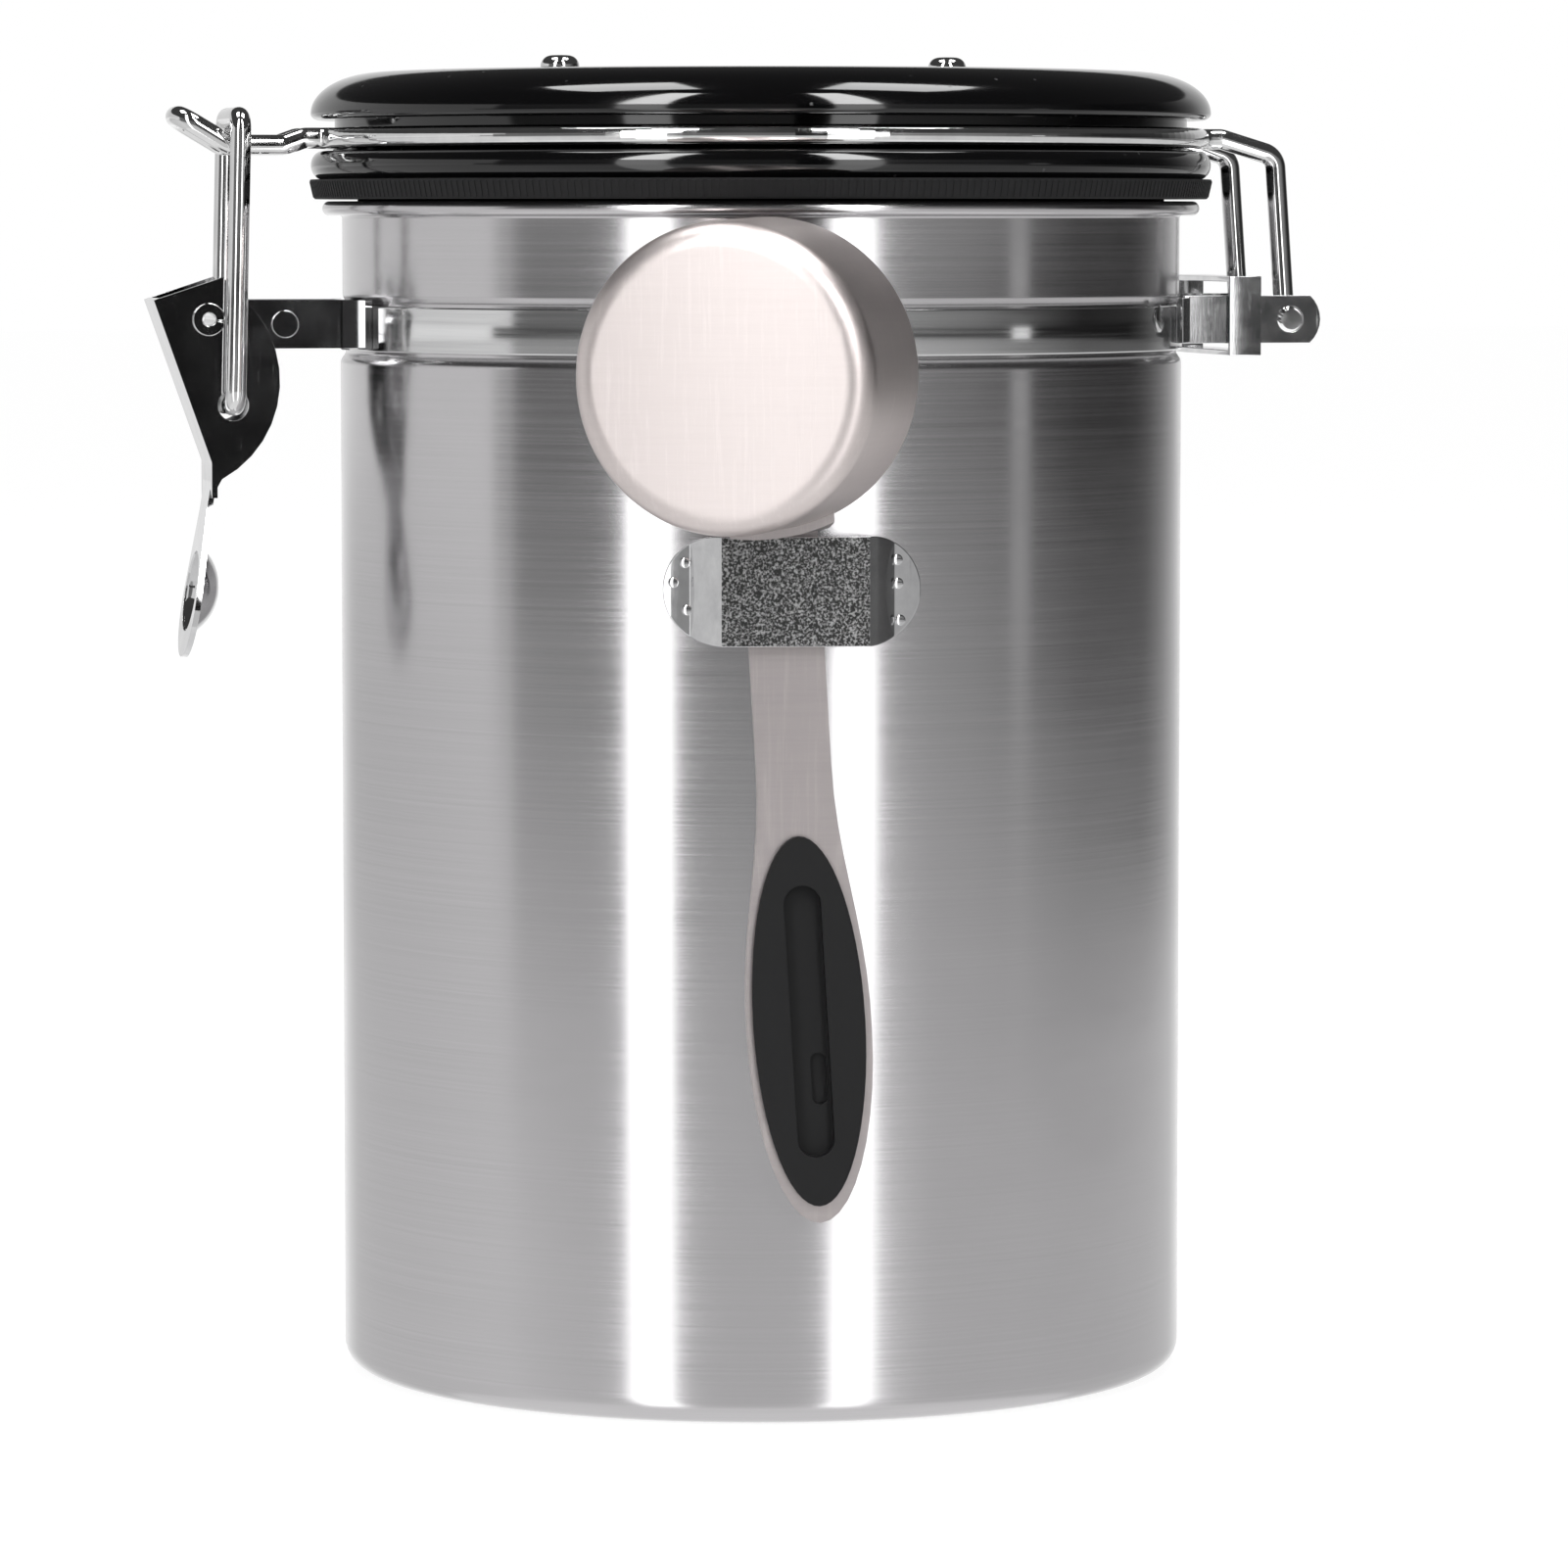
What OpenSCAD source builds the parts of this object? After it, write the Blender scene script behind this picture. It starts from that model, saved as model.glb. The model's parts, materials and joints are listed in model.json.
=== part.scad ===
// Coffee canister with a one-way valve, a bail-wire lid, a date dial and a clip-on scoop.
// The origin is the centre of the base. +Z is up, the hinge is at +X and the lever at -X.

/* [Body] */
// Outer diameter of the can
body_d = 120; // [110:1:130]
// Height of the can from the base to the top of the rolled rim
body_h = 166.6; // [150:0.1:190]
// Thickness of the sheet
wall_t = 0.6; // [0.5:0.1:1]
// Radius of the corner between the wall and the base
corner_r = 6; // [3:0.5:9]
// How far the neck groove is set in from the wall
groove_in = 0.7; // [0.3:0.1:1]
// How far the neck above the groove is set in from the wall
neck_in = 0.3; // [0:0.1:0.6]
// How far the rolled rim stands out from the wall
bead_out = 2.5; // [1.5:0.1:3.5]
// Height of the rolled rim
bead_h = 2; // [1.4:0.1:2.6]

/* [Band] */
// Height of the clamp band
band_h = 6.4; // [5:0.1:8]
// Thickness of the clamp band
band_t = 0.8; // [0.6:0.1:1.2]
// Distance from the top of the rim down to the middle of the band
band_drop = 17.8; // [15:0.1:20]
// Half of the gap between the two band halves, as an angle at the lever
band_gap_deg = 4; // [3:0.5:6]

/* [Lid] */
// How far the lid's two flanges stand out from the wall
flange_out = 4.1; // [3:0.1:6]
// Thickness of the lower flange
flange_t = 4; // [3:0.1:5]
// Height of the groove that holds the wire
groove_h = 4.4; // [4:0.1:5]
// Depth of the wire groove, from the edge of the flanges
groove_depth = 3.4; // [3:0.1:4]
// Height of the domed cover above the groove
dome_h = 6.7; // [5:0.1:9]
// Wall of the moulded lid pieces
lid_t = 2; // [1.6:0.1:2.4]
// Depth of the plug below the top of the rim
plug_depth = 2.6; // [1.5:0.1:3]
// Thickness of the gasket
gasket_t = 2.8; // [2.2:0.1:3.4]
// How far the gasket stands out past the lid
gasket_out = 0.35; // [0.1:0.05:0.8]

/* [Date dial and valve] */
// Width of the plain rim of the lid around the date dial
rim_w = 22.1; // [18:0.5:24]
// Width of the band that shows the day numbers
day_w = 9; // [7:0.5:10]
// Width of the band that shows the month numbers
month_w = 9; // [7:0.5:10]
// Diameter of the finger nubs
nub_d = 5.4; // [4:0.2:7]
// Width of the plain plate between the month ring and the vent cap
plate_w = 8.3; // [6:0.1:10]
// Diameter of the valve flap
flap_d = 16; // [12:0.5:20]

/* [Wires] */
// Diameter of the lid wire and of the catch wire
wire_d = 2.9; // [2.4:0.1:3.2]
// Half of the distance between the two hinge legs
leg_y = 12.2; // [10:0.1:14]
// Half of the distance between the two sides of the catch nose
nose_y = 4; // [3.6:0.1:4.4]
// How far the nose runs below the wire ring
nose_drop = 1; // [0.4:0.1:1.4]
// Gap between the nose and the catch wire's crossbar at rest
hook_gap = 0.95; // [0.9:0.05:1.2]

/* [Hinge] */
// Distance from the can's wall to the hinge axis
hinge_out = 14.2; // [12:0.1:18]
// Height of the tabs
tab_h = 6.8; // [6:0.1:8]
// Distance from the hinge axis to the end of a tab
tab_end = 4.5; // [4.3:0.1:6]
// Width of the hinge clip
clip_w = 4.7; // [4:0.1:6]
// Height of the hinge clip
clip_h = 11.3; // [10:0.1:13]

/* [Lever] */
// Distance from the can's wall to the lever's rivet
rivet_out = 20.1; // [19:0.1:22]
// Width of the lever over its side plates
lever_w = 11.5; // [10:0.1:13]
// Thickness of the lever's sheet
lever_t = 0.8; // [0.6:0.1:1]
// How far the catch wire's pivot is below the rivet
catch_down = 12; // [11:0.1:13]
// How far the catch wire's pivot is inside the rivet, past dead centre
catch_in = 3.4; // [2.6:0.1:3.6]
// Length of the lever's tail
tail_l = 24; // [20:0.5:28]

/* [Scoop] */
// Direction of the bracket, as an angle from +X
scoop_az = -97.7; // [-105:0.1:-85]
// Outer diameter of the scoop cup
cup_d = 41.5; // [38:0.5:46]
// Depth of the scoop cup
cup_h = 22; // [18:0.5:26]
// Wall of the scoop cup
cup_t = 0.8; // [0.6:0.1:1.2]
// Twist of the cup against the bracket
cup_yaw = -22; // [-26:1:0]
// Thickness of the handle
handle_t = 1.5; // [1.2:0.1:2]
// Width of the handle in the bracket
neck_w = 10.2; // [9:0.1:11]
// Width of the handle at the grip
grip_w = 17; // [15:0.1:17.4]
// Length of the handle below the middle of the bracket
handle_l = 86; // [80:1:95]
// Height of the scoop bracket
bracket_h = 14.8; // [12:0.1:18]
// Distance from the top of the rim down to the middle of the bracket
bracket_drop = 52.4; // [50:0.1:60]

/* [Hidden] */
$fn = 96;

body_r = body_d / 2;
neck_r = body_r - neck_in;
seat_r = body_r - groove_in;
bead_r = body_r + bead_out;
band_z = body_h - band_drop;
band_r = seat_r + 0.05;
foot_r = band_r + band_t + 0.05;
foot_t = 1;
wire_r = wire_d / 2;
wire_lap = 0.1;
wire_step = 0.01;
// Gap between the lid wire and the groove that it runs in
ring_clear = 0.3;

gasket_z = body_h + 0.3;
flange_z = gasket_z + gasket_t;
groove_z = flange_z + flange_t;
dome_z = groove_z + groove_h;
top_z = dome_z + dome_h;
lid_r = body_r + flange_out;
groove_r = lid_r - groove_depth;
plug_r = body_r - wall_t - neck_in - 1.6;
plug_taper = 1.5;
ring_z = groove_z + wire_r + ring_clear;
ring_r = groove_r + wire_r + ring_clear;
nose_z = ring_z - nose_drop;

hinge_x = body_r + hinge_out;
hinge_z = band_z + 1;
loose = 0.4;
leg_top_x = hinge_x - 1.6;
leg_top_z = ring_z - 2.4;
tab_t = 1;
tab_y = leg_y + wire_r + loose;
pin_end_y = tab_y + tab_t + 0.8;
clip_t = 0.8;
clip_x = hinge_x - 6.9;
clip_z = hinge_z + 0.5;
clip_y = tab_y + tab_t + 0.15;

rivet_x = body_r + rivet_out;
rivet_z = band_z + 1.3;
ear_z = band_z + 0.6;
ear_t = 1;
ear_y = lever_w / 2 - lever_t - 0.3;
rivet_r = 1.5;
rivet_head_r = 2.3;
rivet_head_t = 0.5;
rivet_play = 0.1;
rivet_bore_r = 0.9;
cross_x = -body_r - 9.2;
cross_r = 1.4;
cross_head_r = 1.95;
cross_head_t = 0.28;
fit_gap = 0.02;
run_gap = 0.08;
catch_x = -rivet_x + catch_in;
catch_z = rivet_z - catch_down;
catch_y = lever_w / 2 + rivet_play + rivet_head_t + 0.25 + wire_r;
catch_hole_r = 2.2;
catch_bend = 2.2;
catch_end_y = lever_w / 2 - lever_t - 1.2;
// Corners of the lever's spine and the radius and angles of its tail, from the rivet
spine_top = [-7.7, 2.7];
spine_end = [0.3, -20];
waist = [0.3, -25];
tail_lean = 9.2;
tail_tip_r = 7.4;
tail_neck = 3.8;
dish_r = 7.8;
dish_a = 54;
hook_x = catch_x + 1;
hook_z = nose_z + wire_d + hook_gap;
nose_bend_x = catch_x - 0.2;
nose_tip_x = catch_x - 6.9;
nose_tip_up = 4;
// Radii of the wire's bends, at the ring, at the hinge legs and along the nose
ring_bend = 3;
leg_bend = 2;
nose_bend = 3.2;

dial_r = lid_r - rim_w;
recess_h = 1.6;
recess_z = top_z - recess_h;
ring_gap = 0.3;
dial_t = 1.3;
ring_lift = 0.15;
day_in = dial_r - day_w;
month_out = day_in - ring_gap;
month_in = month_out - month_w;
vent_gap = 0.1;
vent_r = month_in - ring_gap - plate_w - vent_gap;
day_mark = -150;
month_mark = -33;
nub_h = 2.2;
floor_z = flange_z + lid_t;
screw_at = plug_r - 7.5;
screw_r = 1.25;
screw_count = 4;
screw_head_r = 2.4;
screw_head_h = 1.2;
boss_r = 3;
seat_t = 1.5;
flap_t = 0.6;
filter_d = 20;
filter_t = 1.8;

bracket_z = body_h - bracket_drop;
bracket_w = 35;
bracket_t = 0.8;
bracket_top_x = body_r + 4.6;
bracket_top_w = 18.4;
bracket_foot_w = 25.6;
handle_x = body_r + 1.3;
handle_y = -1.5;
handle_lean = 3.4;
cup_x = body_r + 9;
cup_y = -0.5;
cup_z = 29.6;
cup_corner = 3.5;
saddle_t = 1.2;
grip_l = 50.4;
grip_end = 2.4;
grip_mid = grip_end + grip_l / 2 - handle_l;
nose_from = grip_mid - 1.6;
neck_top = 8.9;
grip_edge = 0.9;
grip_lip = 1.4;
grip_out = 0.9;
slot_w = 5;
slot_l = 37;
slot_depth = 1.9;

// Points of an arc from angle a0 to angle a1 in n steps, on an ellipse of half-axes rx and ry
function arc(c, rx, ry, a0, a1, n = 8) =
    [for (i = [0:n]) c + [rx * cos(a0 + (a1 - a0) * i / n), ry * sin(a0 + (a1 - a0) * i / n)]];
function unit(v) = v / norm(v);
// Angles for rotate() that turn the three axes to the directions x, y and z
function turn(x, y, z) = abs(x[2]) > 0.99999
    ? [0, -90 * sign(x[2]), atan2(-y[0], y[1])]
    : [atan2(y[2], z[2]), asin(-x[2]), atan2(x[1], x[0])];
function bend_angle(p, i) = acos(min(1, max(-1, unit(p[i] - p[i - 1]) * unit(p[i + 1] - p[i]))));
function bend_cut(p, i, r) = (i == 0 || i == len(p) - 1) ? 0 : r * tan(bend_angle(p, i) / 2);

// Straight round bar between two points, run on a little at both ends into the bends it meets
module bar(a, b, r) {
    d = unit(b - a);
    s = abs(d[2]) > 0.99 ? unit(cross([0, 1, 0], d)) : unit(cross([0, 0, 1], d));
    translate(a - d * wire_lap) rotate(turn(s, cross(d, s), d)) cylinder(r = r, h = norm(b - a) + 2 * wire_lap);
}

// Round bar bent at each inner corner of the path p with the radius bend
module bent_wire(p, bend, r) {
    for (i = [0:len(p) - 2]) {
        d = unit(p[i + 1] - p[i]);
        bar(p[i] + d * bend_cut(p, i, bend), p[i + 1] - d * bend_cut(p, i + 1, bend), r);
    }
    for (i = [1:len(p) - 2]) {
        d1 = unit(p[i] - p[i - 1]);
        n = unit(cross(d1, p[i + 1] - p[i]));
        x = cross(d1, n);
        start = p[i] - d1 * bend_cut(p, i, bend);
        translate(start - x * bend) rotate(turn(x, d1, n))
            rotate_extrude(angle = bend_angle(p, i)) translate([bend, 0]) circle(r = r + wire_step, $fn = 32);
    }
}

// Round bar bent around the point c in a level plane
module level_bend(c, bend, a0, a1, r) {
    translate(c) rotate([0, 0, a0])
        rotate_extrude(angle = a1 - a0) translate([bend, 0]) circle(r = r, $fn = 32);
}

module tube(z0, z1, r_in, r_out) {
    translate([0, 0, z0]) difference() {
        cylinder(r = r_out, h = z1 - z0);
        translate([0, 0, -1]) cylinder(r = r_in, h = z1 - z0 + 2);
    }
}

// Strip of the band's height that follows the neck between two angles
module strip(r, t, h, z, a0, a1) {
    translate([0, 0, z - h / 2]) rotate([0, 0, a0])
        rotate_extrude(angle = a1 - a0) translate([r, 0]) square([t, h]);
}

module canister_body() {
    low = band_z - band_h / 2;
    high = band_z + band_h / 2;
    out = concat([[0, 0]], arc([body_r - corner_r, corner_r], corner_r, corner_r, -90, 0),
        [[body_r, low - 1.4], [seat_r, low - 0.5], [seat_r, high + 0.4], [neck_r, high + 0.9],
        [neck_r, body_h - bead_h]],
        arc([bead_r - bead_h / 2, body_h - bead_h / 2], bead_h / 2, bead_h / 2, -90, 90));
    in = concat([[neck_r - wall_t, body_h], [neck_r - wall_t, high + 0.9], [seat_r - wall_t, high + 0.4],
        [seat_r - wall_t, low - 0.5], [body_r - wall_t, low - 1.4]],
        arc([body_r - corner_r, corner_r], corner_r - wall_t, corner_r - wall_t, 0, -90), [[0, wall_t]]);
    color("silver") rotate_extrude() polygon(concat(out, in));
}

module band_half() {
    tab_a = asin(tab_y / foot_r);
    strip(band_r, band_t, band_h, band_z, tab_a, 180 - band_gap_deg);
}
module band_front() { color("gainsboro") mirror([0, 1, 0]) band_half(); }
module band_rear() { color("gainsboro") band_half(); }

module lever_bracket() {
    foot_a = 14;
    color("gainsboro") difference() {
        union() {
            strip(foot_r, foot_t, tab_h, ear_z, 180 - foot_a, 180 + foot_a);
            for (s = [-1, 1]) {
                translate([-rivet_x, s * (ear_y - ear_t / 2) - ear_t / 2, ear_z - tab_h / 2])
                    cube([rivet_x - foot_r + 0.3, ear_t, tab_h]);
                translate([-rivet_x, s * (ear_y - ear_t / 2) - ear_t / 2, ear_z])
                    rotate([-90, 0, 0]) cylinder(r = tab_h / 2, h = ear_t);
            }
        }
        translate([0, 0, ear_z - tab_h]) cylinder(r = foot_r, h = 2 * tab_h);
        translate([-rivet_x, -lever_w, rivet_z]) rotate([-90, 0, 0]) cylinder(r = rivet_r + fit_gap, h = 2 * lever_w);
        translate([cross_x, -lever_w, ear_z]) rotate([-90, 0, 0]) cylinder(r = cross_r + fit_gap, h = 2 * lever_w);
    }
}

// Rivet along Y with a head at each end, and a bore if it is hollow
module rivet(x, z, r, y_in, head_r, head_t, bore) {
    translate([x, 0, z]) rotate([-90, 0, 0]) difference() {
        union() {
            translate([0, 0, -y_in]) cylinder(r = r, h = 2 * y_in);
            for (s = [-1, 1])
                translate([0, 0, s * (y_in + head_t / 2) - head_t / 2]) cylinder(r = head_r, h = head_t);
        }
        if (bore > 0)
            translate([0, 0, -y_in - head_t - 1]) cylinder(r = bore, h = 2 * (y_in + head_t + 1));
    }
}
module lever_rivet() {
    color("silver") rivet(-rivet_x, rivet_z, rivet_r, lever_w / 2 + rivet_play, rivet_head_r, rivet_head_t, rivet_bore_r);
}
module bracket_rivets() {
    color("silver") rivet(cross_x, ear_z, cross_r, ear_y + fit_gap, cross_head_r, cross_head_t, 0);
}

// Radial plate with a foot along the band. The hinge wire's end turns in its hole
module hinge_tab() {
    foot_a = asin((tab_y + tab_t / 2) / foot_r);
    start_x = sqrt(pow(foot_r, 2) - pow(tab_y, 2)) + 0.06;
    half = tab_h / 2;
    end_a = asin(half / tab_end);
    color("gainsboro") difference() {
        union() {
            strip(foot_r, foot_t, tab_h - 0.4, hinge_z, foot_a, foot_a + 11);
            translate([0, 0, hinge_z]) upright_sheet(tab_y, tab_t)
                polygon(concat([[start_x, -half]], arc([hinge_x, 0], tab_end, tab_end, -end_a, end_a),
                    [[start_x, half]]));
        }
        translate([hinge_x, tab_y - 1, hinge_z]) rotate([-90, 0, 0]) cylinder(r = wire_r + loose, h = tab_t + 2);
    }
}
module hinge_tab_rear() { hinge_tab(); }
module hinge_tab_front() { mirror([0, 1, 0]) hinge_tab(); }

module hinge_clip() {
    w = clip_y + clip_t;
    color("silver") difference() {
        translate([clip_x - clip_w / 2, -w, clip_z - clip_h / 2]) cube([clip_w, 2 * w, clip_h]);
        translate([clip_x - clip_w, -clip_y, clip_z - clip_h / 2 + clip_t])
            cube([2 * clip_w, 2 * clip_y, clip_h - 2 * clip_t]);
    }
}

// Middle of the small bend that joins the wire ring to a straight run at height y
function fillet_x(y, bend) = sqrt(pow(ring_r + bend, 2) - pow(y + bend, 2));
module lid_wire_half() {
    hx = fillet_x(leg_y, ring_bend);
    nx = fillet_x(nose_y, ring_bend);
    ha = atan2(leg_y + ring_bend, hx);
    na = 180 - atan2(nose_y + ring_bend, nx);
    lap = atan2(wire_lap, ring_r);
    level_bend([0, 0, ring_z], ring_r, ha - lap, na + lap, wire_r);
    level_bend([hx, leg_y + ring_bend, ring_z], ring_bend, 180 + ha, 270, wire_r + wire_step);
    level_bend([-nx, nose_y + ring_bend, ring_z], ring_bend, 270, 360 + na - 180, wire_r + wire_step);
    bent_wire([[hx, leg_y, ring_z], [hx + 1, leg_y, ring_z], [leg_top_x, leg_y, leg_top_z],
        [hinge_x, leg_y, hinge_z], [hinge_x, pin_end_y, hinge_z]], leg_bend, wire_r);
}
module catch_nose() {
    x = -fillet_x(nose_y, ring_bend);
    tip = [nose_tip_x, 0, nose_z + nose_tip_up];
    side = [[x, nose_y, ring_z], [x - 1.2, nose_y, ring_z], [x - 4, nose_y, nose_z],
        [nose_bend_x, nose_y, nose_z], tip + [0, nose_y, 0]];
    bent_wire(concat(side, [for (i = [4:-1:0]) [side[i][0], -side[i][1], side[i][2]]]), nose_bend, wire_r);
}
module lid_wire() {
    color("gainsboro") {
        lid_wire_half();
        mirror([0, 1, 0]) lid_wire_half();
        catch_nose();
    }
}

// Outline of the lever's side plate in X and Z, seen from the rivet
module side_outline() {
    polygon(concat([waist, spine_end, spine_top, [2.1, 5.9]], arc([-5.6, -8.6], 15.6, 15.6, 55, -62, 12)));
}
module upright_sheet(y, t) {
    translate([0, y + t, 0]) rotate([90, 0, 0]) linear_extrude(t) children();
}
module lever_tail() {
    dish_at = tail_l - tail_tip_r - 1;
    translate([waist[0] + 0.9, 0, waist[1] + 2]) rotate([0, tail_lean, 0]) {
        difference() {
            translate([-lever_t, 0, 0]) rotate([0, 90, 0]) linear_extrude(lever_t)
                polygon(concat([[0, -tail_neck], [4, -tail_neck]],
                    arc([tail_l + 1 - tail_tip_r, 0], tail_tip_r, tail_tip_r, -110, 110, 20),
                    [[4, tail_neck], [0, tail_neck]]));
            translate([-lever_t - 1, 0, -dish_at]) rotate([0, 90, 0])
                cylinder(r = (dish_r - lever_t) * sin(dish_a) + 0.04, h = lever_t + 2);
        }
        translate([-dish_r * cos(dish_a) - 0.06, 0, -dish_at]) rotate([0, 90, 0]) rotate_extrude()
            polygon(concat(arc([0, 0], dish_r, dish_r, 90 - dish_a, 90),
                arc([0, 0], dish_r - lever_t, dish_r - lever_t, 90, 90 - dish_a)));
    }
}
module lever() {
    half = lever_w / 2;
    color("gainsboro") translate([-rivet_x, 0, rivet_z]) {
        difference() {
            union() {
                for (y = [-half, half - lever_t]) upright_sheet(y, lever_t) side_outline();
                upright_sheet(-half, lever_w)
                    polygon([spine_top, spine_end, waist, waist + [lever_t, 0], spine_end + [lever_t, 0.2],
                        spine_top + [lever_t, 0.3]]);
            }
            translate([0, -lever_w, 0]) rotate([-90, 0, 0]) cylinder(r = rivet_r + run_gap, h = 2 * lever_w);
            translate([catch_in, -lever_w, -catch_down]) rotate([-90, 0, 0])
                cylinder(r = catch_hole_r, h = 2 * lever_w);
        }
        lever_tail();
    }
}

module catch_wire() {
    color("gainsboro") bent_wire([[catch_x, -catch_end_y, catch_z], [catch_x, -catch_y, catch_z],
        [hook_x, -catch_y, hook_z], [hook_x, catch_y, hook_z], [catch_x, catch_y, catch_z],
        [catch_x, catch_end_y, catch_z]], catch_bend, wire_r);
}

// Lower half of the lid: flange, wire groove and plug
module lid_base() {
    valve_open = flap_d / 2 + 0.8;
    color("#141414") difference() {
        rotate_extrude() polygon(concat(
            [[valve_open, floor_z], [valve_open, flange_z], [plug_r - lid_t, flange_z],
            [plug_r - lid_t - plug_taper, body_h - plug_depth], [plug_r - plug_taper, body_h - plug_depth],
            [plug_r, body_h], [plug_r, flange_z]],
            arc([lid_r - 1.6, flange_z + flange_t / 2], 1.6, flange_t / 2, -90, 90),
            [[groove_r, groove_z], [groove_r, dome_z], [groove_r - lid_t, dome_z], [groove_r - lid_t, floor_z]]));
        for (i = [0:screw_count - 1])
            rotate([0, 0, 45 + i * 360 / screw_count]) translate([screw_at, 0, flange_z - 1])
                cylinder(r = screw_r + 0.15, h = lid_t + 2, $fn = 32);
    }
}

// Domed upper half of the lid, with the recess for the date rings
module lid_cover() {
    skirt_r = groove_r - lid_t - 0.2;
    edge = [lid_r - 10, dome_z + 0.9];
    rise = top_z - edge[1];
    deck_z = recess_z - lid_t;
    cap_r = vent_r - 3;
    boss_top = top_z - lid_t + 0.5;
    color("#141414") difference() {
        union() {
            rotate_extrude() polygon(concat(
                [[cap_r, recess_z], [cap_r, deck_z], [dial_r + 2, deck_z]],
                arc(edge, 10 - lid_t, rise - lid_t, 90, 25),
                [[skirt_r - 1.6, dome_z], [skirt_r - 1.6, dome_z - 2], [skirt_r, dome_z - 2], [skirt_r, dome_z]],
                arc([lid_r - 1.2, edge[1]], 1.2, 0.9, -90, 0, 4),
                arc(edge, 10, rise, 0, 90, 16),
                [[dial_r + 0.3, top_z], [dial_r + 0.3, recess_z]]));
            for (i = [0:screw_count - 1])
                rotate([0, 0, 45 + i * 360 / screw_count]) translate([screw_at, 0, floor_z])
                    cylinder(r = boss_r, h = boss_top - floor_z, $fn = 32);
        }
        for (i = [0:screw_count - 1])
            rotate([0, 0, 45 + i * 360 / screw_count]) translate([screw_at, 0, floor_z - 1])
                cylinder(r = screw_r + fit_gap, h = 8, $fn = 32);
    }
}

module lid_gasket() {
    color("#222222") rotate_extrude() polygon([[plug_r + 0.05, gasket_z], [lid_r - 0.3, gasket_z],
        [lid_r + gasket_out, flange_z], [plug_r + 0.05, flange_z]]);
}

module lid_screws() {
    color("silver") for (i = [0:screw_count - 1])
        rotate([0, 0, 45 + i * 360 / screw_count]) translate([screw_at, 0, flange_z]) {
            translate([0, 0, -screw_head_h]) cylinder(r = screw_head_r, h = screw_head_h, $fn = 32);
            cylinder(r = screw_r, h = lid_t + 6, $fn = 32);
        }
}

// Flat ring in the recess, with its own finger nub
module date_ring(r_in, r_out) { tube(recess_z + ring_lift, recess_z + ring_lift + dial_t, r_in, r_out); }
module nub(r, a) {
    rotate([0, 0, a]) translate([r, 0, recess_z + ring_lift + dial_t]) intersection() {
        cylinder(r = nub_d / 2, h = nub_h + 1);
        translate([0, 0, nub_h - nub_d / 2 - 0.3]) sphere(r = nub_d / 2 + 0.3);
    }
}
module dial_plate() { color("#1c1c1c") tube(recess_z, recess_z + dial_t + ring_lift, vent_r + vent_gap, month_in - ring_gap); }
module day_ring() { color("#1c1c1c") date_ring(day_in, dial_r); }
module month_ring() { color("#1c1c1c") date_ring(month_in, month_out); }
module day_nub() { color("silver") nub((day_in + dial_r) / 2, day_mark); }
module month_nub() { color("silver") nub((month_in + month_out) / 2, month_mark); }

module vent_cap() {
    hole_r = 0.9;
    holes = 8;
    color("#1c1c1c") difference() {
        union() {
            translate([0, 0, recess_z]) cylinder(r = vent_r, h = recess_h);
            translate([0, 0, recess_z - lid_t - 0.6]) cylinder(r = vent_r - 3.1, h = lid_t + 1);
        }
        translate([0, 0, recess_z - lid_t - 1]) cylinder(r = vent_r - 5, h = lid_t + 0.8);
        for (i = [0:holes - 1])
            rotate([0, 0, i * 360 / holes]) translate([vent_r / 2, 0, recess_z - 1])
                cylinder(r = hole_r, h = recess_h + 2, $fn = 24);
    }
}

module valve_seat() {
    holes = 6;
    color("dimgray") difference() {
        translate([0, 0, floor_z]) cylinder(r = flap_d / 2 + 4, h = seat_t);
        translate([0, 0, floor_z - 1]) cylinder(r = 1.3, h = seat_t + 2, $fn = 32);
        for (i = [0:holes - 1])
            rotate([0, 0, i * 360 / holes]) translate([flap_d / 4 + 0.8, 0, floor_z - 1])
                cylinder(r = 1.1, h = seat_t + 2, $fn = 24);
    }
}
module valve_flap() {
    color("gray") {
        translate([0, 0, floor_z + seat_t + 0.05]) cylinder(r = flap_d / 2, h = flap_t);
        translate([0, 0, floor_z - 0.6]) cylinder(r = 1.2, h = seat_t + 0.8, $fn = 32);
    }
}
module valve_filter() {
    color("white") translate([0, 0, flange_z - filter_t]) cylinder(r = filter_d / 2, h = filter_t);
}
module filter_ring() {
    lip = 0.8;
    color("#1c1c1c") {
        tube(flange_z - filter_t, flange_z, filter_d / 2 + 0.1, filter_d / 2 + 1.4);
        tube(flange_z - filter_t - lip, flange_z - filter_t, filter_d / 2 - 1.6, filter_d / 2 + 1.4);
    }
}

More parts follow.
